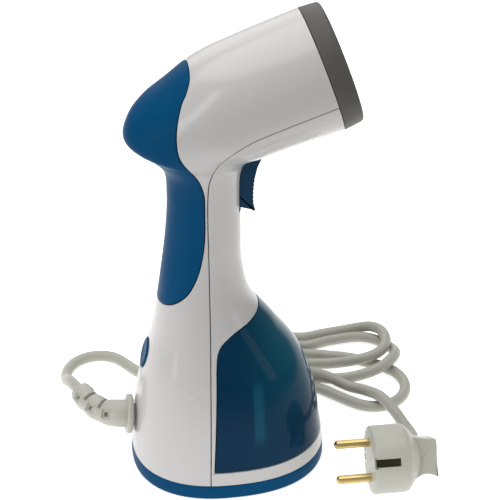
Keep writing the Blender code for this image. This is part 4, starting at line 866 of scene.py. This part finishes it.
# painted shade: near-black, for the shade in the gap round the button
gapDark = rubber("gapDark", (0.01, 0.011, 0.013))
earthMetal = metal("earthMetal", (0.05, 0.05, 0.028), rough=0.5)
brass = metal("brass", (0.62, 0.47, 0.2), rough=0.22, streak=(0.2, 1.0, 1.0))
steel = metal("steel", (0.58, 0.58, 0.6), rough=0.28)
castAluminium = metal("castAluminium", (0.5, 0.51, 0.52), rough=0.42, grain=900.0, strength=0.25)
blackPlastic = plastic("blackPlastic", (0.02, 0.02, 0.021), rough=0.45)
copper = metal("copper", (0.6, 0.3, 0.15), rough=0.3)
silicone = rubber("silicone", (0.5, 0.2, 0.13))
mica = rubber("mica", (0.5, 0.44, 0.34), rough=0.6)
boardGreen = plastic("boardGreen", (0.01, 0.1, 0.035), rough=0.4)
wireRubber = rubber("wireRubber", (0.25, 0.05, 0.04))

base = {"half": (53.8, 46.3), "exponent": 2.35, "screwHole": 3.0}


def baseRing(offset, z, count=200):
    angle = np.linspace(0, 2 * math.pi, count, endpoint=False)
    share = 2 / base["exponent"]
    a, b = (size + offset for size in base["half"])
    along = np.sign(np.cos(angle)) * np.abs(np.cos(angle)) ** share
    side = np.sign(np.sin(angle)) * np.abs(np.sin(angle)) ** share
    return np.stack([a * along, b * side, np.full(count, z)], axis=1)


def makeBase():
    profile = ((-52.0, 0.5), (-5.0, 0.5), (-4.4, 0.1), (-3.8, 0.0), (-1.0, 0.0), (-0.45, 0.1), (0.0, 0.4),
               (0.3, 0.85), (0.38, 1.5), (0.2, 5.0), (0.0, 8.3), (-0.12, 8.7), (-0.45, 8.98), (-0.8, 9.0),
               (-2.4, 9.0), (-2.4, 2.6), (-40.0, 2.6))
    rings = [baseRing(max(offset, -44.0), z) for offset, z in profile]
    piece = addPiece("baseCover", solidMesh("baseCover", Matrix(), [loops(rings)]), "housing", panelBlue,
                     ("base_cover",))
    holes = []
    for i in range(1, 5):
        lowCorner, highCorner = (np.array(value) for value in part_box(f"base_screw_{i}"))
        x, y = ((lowCorner + highCorner) / 2 / mm)[:2] - (originX / mm, 0)
        points, faces = turnedSet([(-1.0, base["screwHole"]), (6.0, base["screwHole"])], 40, False)
        holes.append((points[:, [1, 2, 0]] + (x, y, 0), faces))
    cutBy(piece, holes, Matrix())
    piece.data.materials.clear()
    piece.data.materials.append(panelBlue)
    return piece


outlet = {"length": 10.8, "opening": 25.6}


def makeRing():
    radius, length, opening = form["headRadius"], outlet["length"], outlet["opening"]
    profile = [(0.3, opening + 3.2), (0.3, radius - 0.55), (0.4, radius - 0.2), (0.7, radius - 0.06),
               (length - 2.6, radius - 0.72)]
    for angle in np.radians([12, 26, 40, 54, 68, 80]):
        profile.append((length - 2.0 + 2.0 * math.sin(angle), radius - 0.85 - 1.85 * (1 - math.cos(angle))))
    profile += [(length, radius - 2.8), (length, opening + 1.3), (length - 0.15, opening + 1.0),
                (length - 0.5, opening + 0.8), (length - 2.6, opening + 0.25), (length - 2.8, opening + 0.6),
                (length - 2.8, opening + 2.0), (-4.0, opening + 2.0), (-4.0, opening + 3.2)]
    matrix = Matrix.Translation((form["headX"], 0, form["headZ"])) @ Matrix.Rotation(-tilt, 4, "Y")
    return addPiece("nozzleRing", solidMesh("nozzleRing", matrix, [turnedSet(profile, 160)]), "housing",
                    ringGrey,
                    ("nozzle_ring",))


triggerPad = ((14.0, 2.3), (12.9, -0.2), (11.4, -3.5), (10.3, -8.0), (9.6, -13.0), (9.25, -18.0),
              (9.2, -23.0),
              (9.5, -26.0), (10.1, -28.4))
triggerBack = ((9.0, -28.2), (2.2, -25.9), (-3.0, -24.6), (-3.2, -15.0), (-3.9, -6.0), (-4.2, 0.0),
               (-3.0, 3.0),
               (0.0, 4.2), (4.0, 4.2), (9.0, 3.3))


def makeTrigger():
    front = evenly(hermite(triggerPad, np.linspace(0, len(triggerPad) - 1, 300)), 0.25)
    teeth = np.clip((front[:, 1] + 26.5) / 2.0, 0, 1) * np.clip((-8.0 - front[:, 1]) / 2.0, 0, 1)
    wave = np.abs(np.sin((front[:, 1] + 26.5) * math.pi / 2.3)) ** 0.7
    front[:, 0] -= teeth * (1 - wave) * 0.55
    outline = np.concatenate([front, np.array(triggerBack)])
    matrix = Matrix.Translation((trigger["x"], 0, trigger["z"]))
    return addPiece("triggerPad", solidMesh("triggerPad", matrix, [pillow(outline, trigger["half"], 0.9)],
                                            50),
                    "trigger", triggerBlue, ("trigger",))


# frame on the rear face's middle line: X points straight out of it
def rearFrame(z):
    mark = np.array(markAt(z))
    spot, out = surface(mark, np.array(math.pi)), Vector(outward(mark, np.array(math.pi)))
    return Matrix.Translation(spot) @ out.to_track_quat("X", "Z").to_matrix().to_4x4()


def ovalSet(stations, half, count=72):
    angle = np.linspace(0, 2 * math.pi, count, endpoint=False)
    rings = [np.stack([np.full(count, x), half[0] * share * np.cos(angle),
                       half[1] * share * np.sin(angle)], axis=1)
             for x, share in stations]
    return loops(rings)


button = {"z": 70.0, "half": (6.0, 9.0)}


def makeButton():
    stations = ((-3.0, 1.0), (0.15, 1.0), (0.45, 0.975), (0.68, 0.92), (0.78, 0.84), (0.8, 0.76), (0.62, 0.6),
                (0.5, 0.4), (0.46, 0.15))
    matrix = rearFrame(button["z"])
    addPiece("powerButton", solidMesh("powerButton", matrix, [ovalSet(stations, button["half"])]),
             "button", panelBlue,
             ("power_button",))
    angle = np.linspace(0, 2 * math.pi, 96, endpoint=False)
    turn = np.array(matrix.to_3x3())

    # an oval round the button, lying on the shell's curved rear
    def onRear(share, proud):
        flat = np.stack([np.zeros(96), button["half"][0] * share * np.cos(angle),
                         button["half"][1] * share * np.sin(angle)], axis=1)
        place = flat @ turn.T + np.array(matrix.translation)
        marks = np.interp(place[:, 2], rowTable[:2000, 1], rowMarks[:2000])
        row = hermite(bodyRows, marks)
        side = np.arcsin(np.clip((np.abs(place[:, 1]) / row[:, 4]) ** (row[:, 5] / 2), 0, 1))
        turns = math.pi - side * np.sign(place[:, 1])
        return surface(marks, turns) + outward(marks, turns) * proud

    # painted shade: a near-black ring laid just over the shell round the button stands for the shade in its
    # gap; and the well's floor that shows once it is pressed
    gap = loops([onRear(share, 0.04) for share in (0.93, 1.055)], (False, False))
    well = loops([onRear(share, 0.05) for share in (0.04, 0.3, 0.6, 0.94)], (True, False))
    addPiece("buttonGap", solidMesh("buttonGap", Matrix(), [gap]), "housing", gapDark)
    addPiece("buttonWell", solidMesh("buttonWell", Matrix(), [well]), "housing", triggerBlue)


relief = {"z": 29.0, "radius": 8.0, "taper": 1.75, "waist": 0.55, "windows": (0.30, 0.56, 0.82)}
reliefPath = ((-68.0, 4.0, 29.5), (-75.5, 12.0, 30.5), (-80.0, 22.0, 31.0))


def makeRelief():
    frameHere = rearFrame(relief["z"])
    start = [tuple(frameHere @ Vector((along, 0, 0))) for along in (2, 8)]
    path, length = smoothPath(start + list(reliefPath), 0.25)
    along = unit(np.gradient(path, axis=0))
    up = np.array([0.0, 0.0, 1.0])
    side = unit(np.cross(along, up))
    top = np.cross(side, along)
    share = np.linspace(0, 1, len(path))
    run = share * length
    spots = [length * part for part in relief["windows"]]
    waist = 0.5 - 0.5 * np.cos(2 * math.pi * (run - spots[0]) / (spots[1] - spots[0]))
    narrowed = relief["waist"] * waist * (run > spots[0] - 1) * (run < spots[2] + 1)
    radius = relief["radius"] - relief["taper"] * share - narrowed
    angle = np.linspace(0, 2 * math.pi, 120, endpoint=False)

    def window(centre, facing, half, wide, deep):
        near = np.clip((half - np.abs(run - centre)) / 0.35, 0, 1)[:, None]
        off = np.abs((angle - facing + math.pi) % (2 * math.pi) - math.pi)
        return near * np.clip((wide - off) / 0.07, 0, 1)[None, :] * deep

    depth = np.zeros((len(path), len(angle)))
    for centre in spots:
        for facing, down in ((0.5, -0.07), (math.pi - 0.5, 0.07)):
            depth = np.maximum(depth, window(centre, facing, 2.2, 0.40, 1.3))
            depth = np.maximum(depth, window(centre + 0.2, facing + down, 1.15, 0.24, 3.6))
    for centre in (spots[0] + spots[1], spots[1] + spots[2]):
        for facing in (math.pi / 2, -math.pi / 2):
            depth = np.maximum(depth, window(centre / 2, facing, 1.0, 0.75, 2.0))
    tip = np.clip((run - (length - 0.9)) / 0.9, 0, 1)[:, None]
    reach = radius[:, None] - depth - tip**2 * 0.7
    rings = (path[:, None] + reach[..., None] * (np.cos(angle)[None, :, None] * side[:, None]
                                                 + np.sin(angle)[None, :, None] * top[:, None]))
    sleeve = loops(list(rings))
    flange = turnedSet([(-3.0, 3.0), (-3.0, 5.5), (1.2, 5.5), (1.2, 10.4), (1.35, 10.75), (1.7, 11.0),
                        (3.5, 11.0),
                        (4.1, 10.75), (4.45, 10.2), (4.6, 9.4), (4.6, 3.0)], 80)
    turn = np.array(frameHere.to_3x3())
    flange = (flange[0] @ turn.T + np.array(frameHere.translation), flange[1])
    return addPiece("strainRelief", solidMesh("strainRelief", Matrix(), [sleeve, flange], 45), "housing",
                    palePlastic,
                    ("strain_relief",))


plug = {"at": (71.0, -49.3, 18.6), "turn": -3.0, "roll": 33.0, "radius": 18.5}


def makePlug():
    matrix = (Matrix.Translation(plug["at"]) @ Matrix.Rotation(math.radians(plug["turn"]), 4, "Z")
              @ Matrix.Rotation(-math.radians(plug["roll"]), 4, "X"))
    radius = plug["radius"]
    drum = turnedSet([(0.0, 0.01), (0.0, radius - 1.3), (0.2, radius - 0.7), (0.6, radius - 0.25),
                      (1.2, radius), (17.2, radius), (18.2, radius - 0.12), (19.2, radius - 0.6),
                      (20.0, radius - 1.4), (23.0, radius - 5.2),
                      (25.4, radius - 8.2), (25.5, 0.01)], 128, False)
    piece = addPiece("plugBody", solidMesh("plugBody", matrix, [drum]), "housing", palePlastic,
                     ("plug_body",))
    slots = [boxSet((-1.0, side * (radius + 2), -2.2),
                    (13.5, side * (radius - 2.4), 2.2)) for side in (-1, 1)]
    slots += [boxSet((-1.0, side * (radius + 2), -3.1),
                     (1.2, side * (radius - 5.0), 3.1)) for side in (-1, 1)]
    cutBy(piece, slots, matrix)
    holder = ((15.0, 15.5), (19.5, 13.6), (23.0, 11.8), (27.0, 10.6), (31.0, 10.0), (34.0, 9.9), (35.4, 9.5),
              (36.0, 8.0), (36.0, 4.0), (35.7, 0.0), (35.8, -5.0), (36.0, -9.6), (35.8, -10.8), (35.0, -11.0),
              (33.6, -10.2), (31.0, -9.4), (28.0, -9.2), (24.5, -10.6), (20.5, -13.6), (15.0, -16.5))
    smooth = hermite([*holder], np.linspace(0, len(holder) - 1, 120))
    grip = pillow(smooth, 7.0, 0.9)
    sleeve = turnedSet([(2.0, 4.75), (13.0, 4.75), (13.4, 4.3), (14.0, 4.1), (14.6, 4.3), (15.0, 4.75),
                        (17.2, 4.75), (17.8, 4.45), (18.0, 3.9), (18.0, 0.01)], 48, False)
    sleeve = (sleeve[0][:, [1, 0, 2]] + (30.0, 0, 0), sleeve[1])
    addPiece("plugGrip", solidMesh("plugGrip", matrix, [grip, sleeve], 40), "housing", palePlastic, ())
    return piece


makeBase()
makeRing()
makeTrigger()
makeButton()
makeRelief()
makePlug()
print("small pieces made")

groups = {
    steel: ("shell_screw", "base_screw", "clamp_screw", "boiler_screw", "trigger_pin", "trigger_spring",
            "valve_spring", "heating_element"),
    brass: ("plug_pin",),
    earthMetal: ("earth_clip",),
    castAluminium: ("boiler", "steam_plate", "thermostat"),
    copper: ("pump_coil",),
    silicone: ("boiler_seal", "outlet_seal", "inlet_hose", "outlet_hose"),
    mica: ("heat_shield",),
    boardGreen: ("circuit_board",),
    wireRubber: ("heater_wire", "lead_tail"),
    ringGrey: ("tank_cap", "boiler_cover"),
    palePlastic: ("outlet_valve", "terminal_block"),
    blackPlastic: ("microswitch", "power_switch", "cord_clamp", "tank_socket", "pump_body", "thermal_fuse"),
}


# give every shown CAD node its material
def paintInside():
    for material, names in groups.items():
        for item in bpy.data.objects:
            if item.name.startswith(names) and item.data is not None and item.data.materials:
                own = [name for name in names if name.startswith("boiler_") and item.name.startswith(name)]
                if own or not item.name.startswith("boiler_"):
                    item.data.materials.clear()
                    item.data.materials.append(material)


paintInside()


# floor and light


studio = {"reach": 3.0, "near": 0.93, "far": 0.6, "glow": 0.6, "world": 0.42}


def makeStage():
    def build(tree, place):
        # painted light: the floor is painted brighter and glows behind and beside the object, and is painted
        # darker in front, where only the object sees it
        front = axis(place, 1).ramp(-0.36, -0.10)
        left, right = axis(place, 0).ramp(-0.60, -0.25), (-axis(place, 0)).ramp(-0.65, -0.28)
        paintedGlow = front * left * right
        fibre = noise(place, 3.0) * 0.03
        return {"Base Color": (paintedGlow - fibre).mix((studio["far"],) * 3, (studio["near"],) * 3),
                "Roughness": 0.8,
                "Emission Color": paintedGlow.mix((0.0, 0.0, 0.0), (1.0, 1.0, 1.0))}
    # the strength of the floor's painted glow
    paper = newMaterial("paper", build, Emission_Strength=studio["glow"], Specular_IOR_Level=0.0)
    mesh = bpy.data.meshes.new("floor")
    reach = studio["reach"]
    mesh.from_pydata([(-reach, -reach, 0), (reach, -reach, 0), (reach, reach, 0), (-reach, reach, 0)], [],
                     [(0, 1, 2, 3)])
    mesh.materials.append(paper)
    floor = bpy.data.objects.new("floor", mesh)
    floor.location.z = cadBox[0][2]
    bpy.context.scene.collection.objects.link(floor)


lights = (
    {"name": "left", "at": (-0.62, -0.62, 0.52), "size": (0.16, 0.95), "power": 1.5,
     "tint": (1.0, 0.99, 0.97)},
    {"name": "strip", "at": (-0.90, -0.40, 0.24), "size": (0.05, 0.46), "power": 1.1,
     "tint": (1.0, 1.0, 1.0)},
    {"name": "right", "at": (0.85, -0.55, 0.55), "size": (0.3, 0.9), "power": 1.1, "tint": (1.0, 1.0, 1.0)},
    {"name": "top", "at": (-0.1, 0.15, 1.15), "size": (1.1, 1.1), "power": 8.0, "tint": (1.0, 0.99, 0.97)},
    {"name": "back", "at": (0.0, 1.0, 0.7), "size": (1.2, 0.7), "power": 3.0, "tint": (1.0, 1.0, 1.0)},
)


def makeLights():
    for spec in lights:
        data = bpy.data.lights.new(spec["name"], "AREA")
        data.shape = "RECTANGLE"
        data.size, data.size_y = spec["size"]
        data.energy = spec["power"]
        data.color = spec["tint"]
        lamp = bpy.data.objects.new(spec["name"], data)
        lamp.location = spec["at"]
        aim = Vector((0, 0, 0.14)) - lamp.location
        lamp.rotation_euler = aim.to_track_quat("-Z", "Y").to_euler()
        bpy.context.scene.collection.objects.link(lamp)
    worldData = bpy.data.worlds.new("studio")
    worldData.use_nodes = True
    worldData.node_tree.nodes["Background"].inputs["Color"].default_value = (1, 1, 1, 1)
    worldData.node_tree.nodes["Background"].inputs["Strength"].default_value = studio["world"]
    bpy.context.scene.world = worldData
    bpy.context.scene.view_settings.view_transform = "Standard"


makeStage()
makeLights()
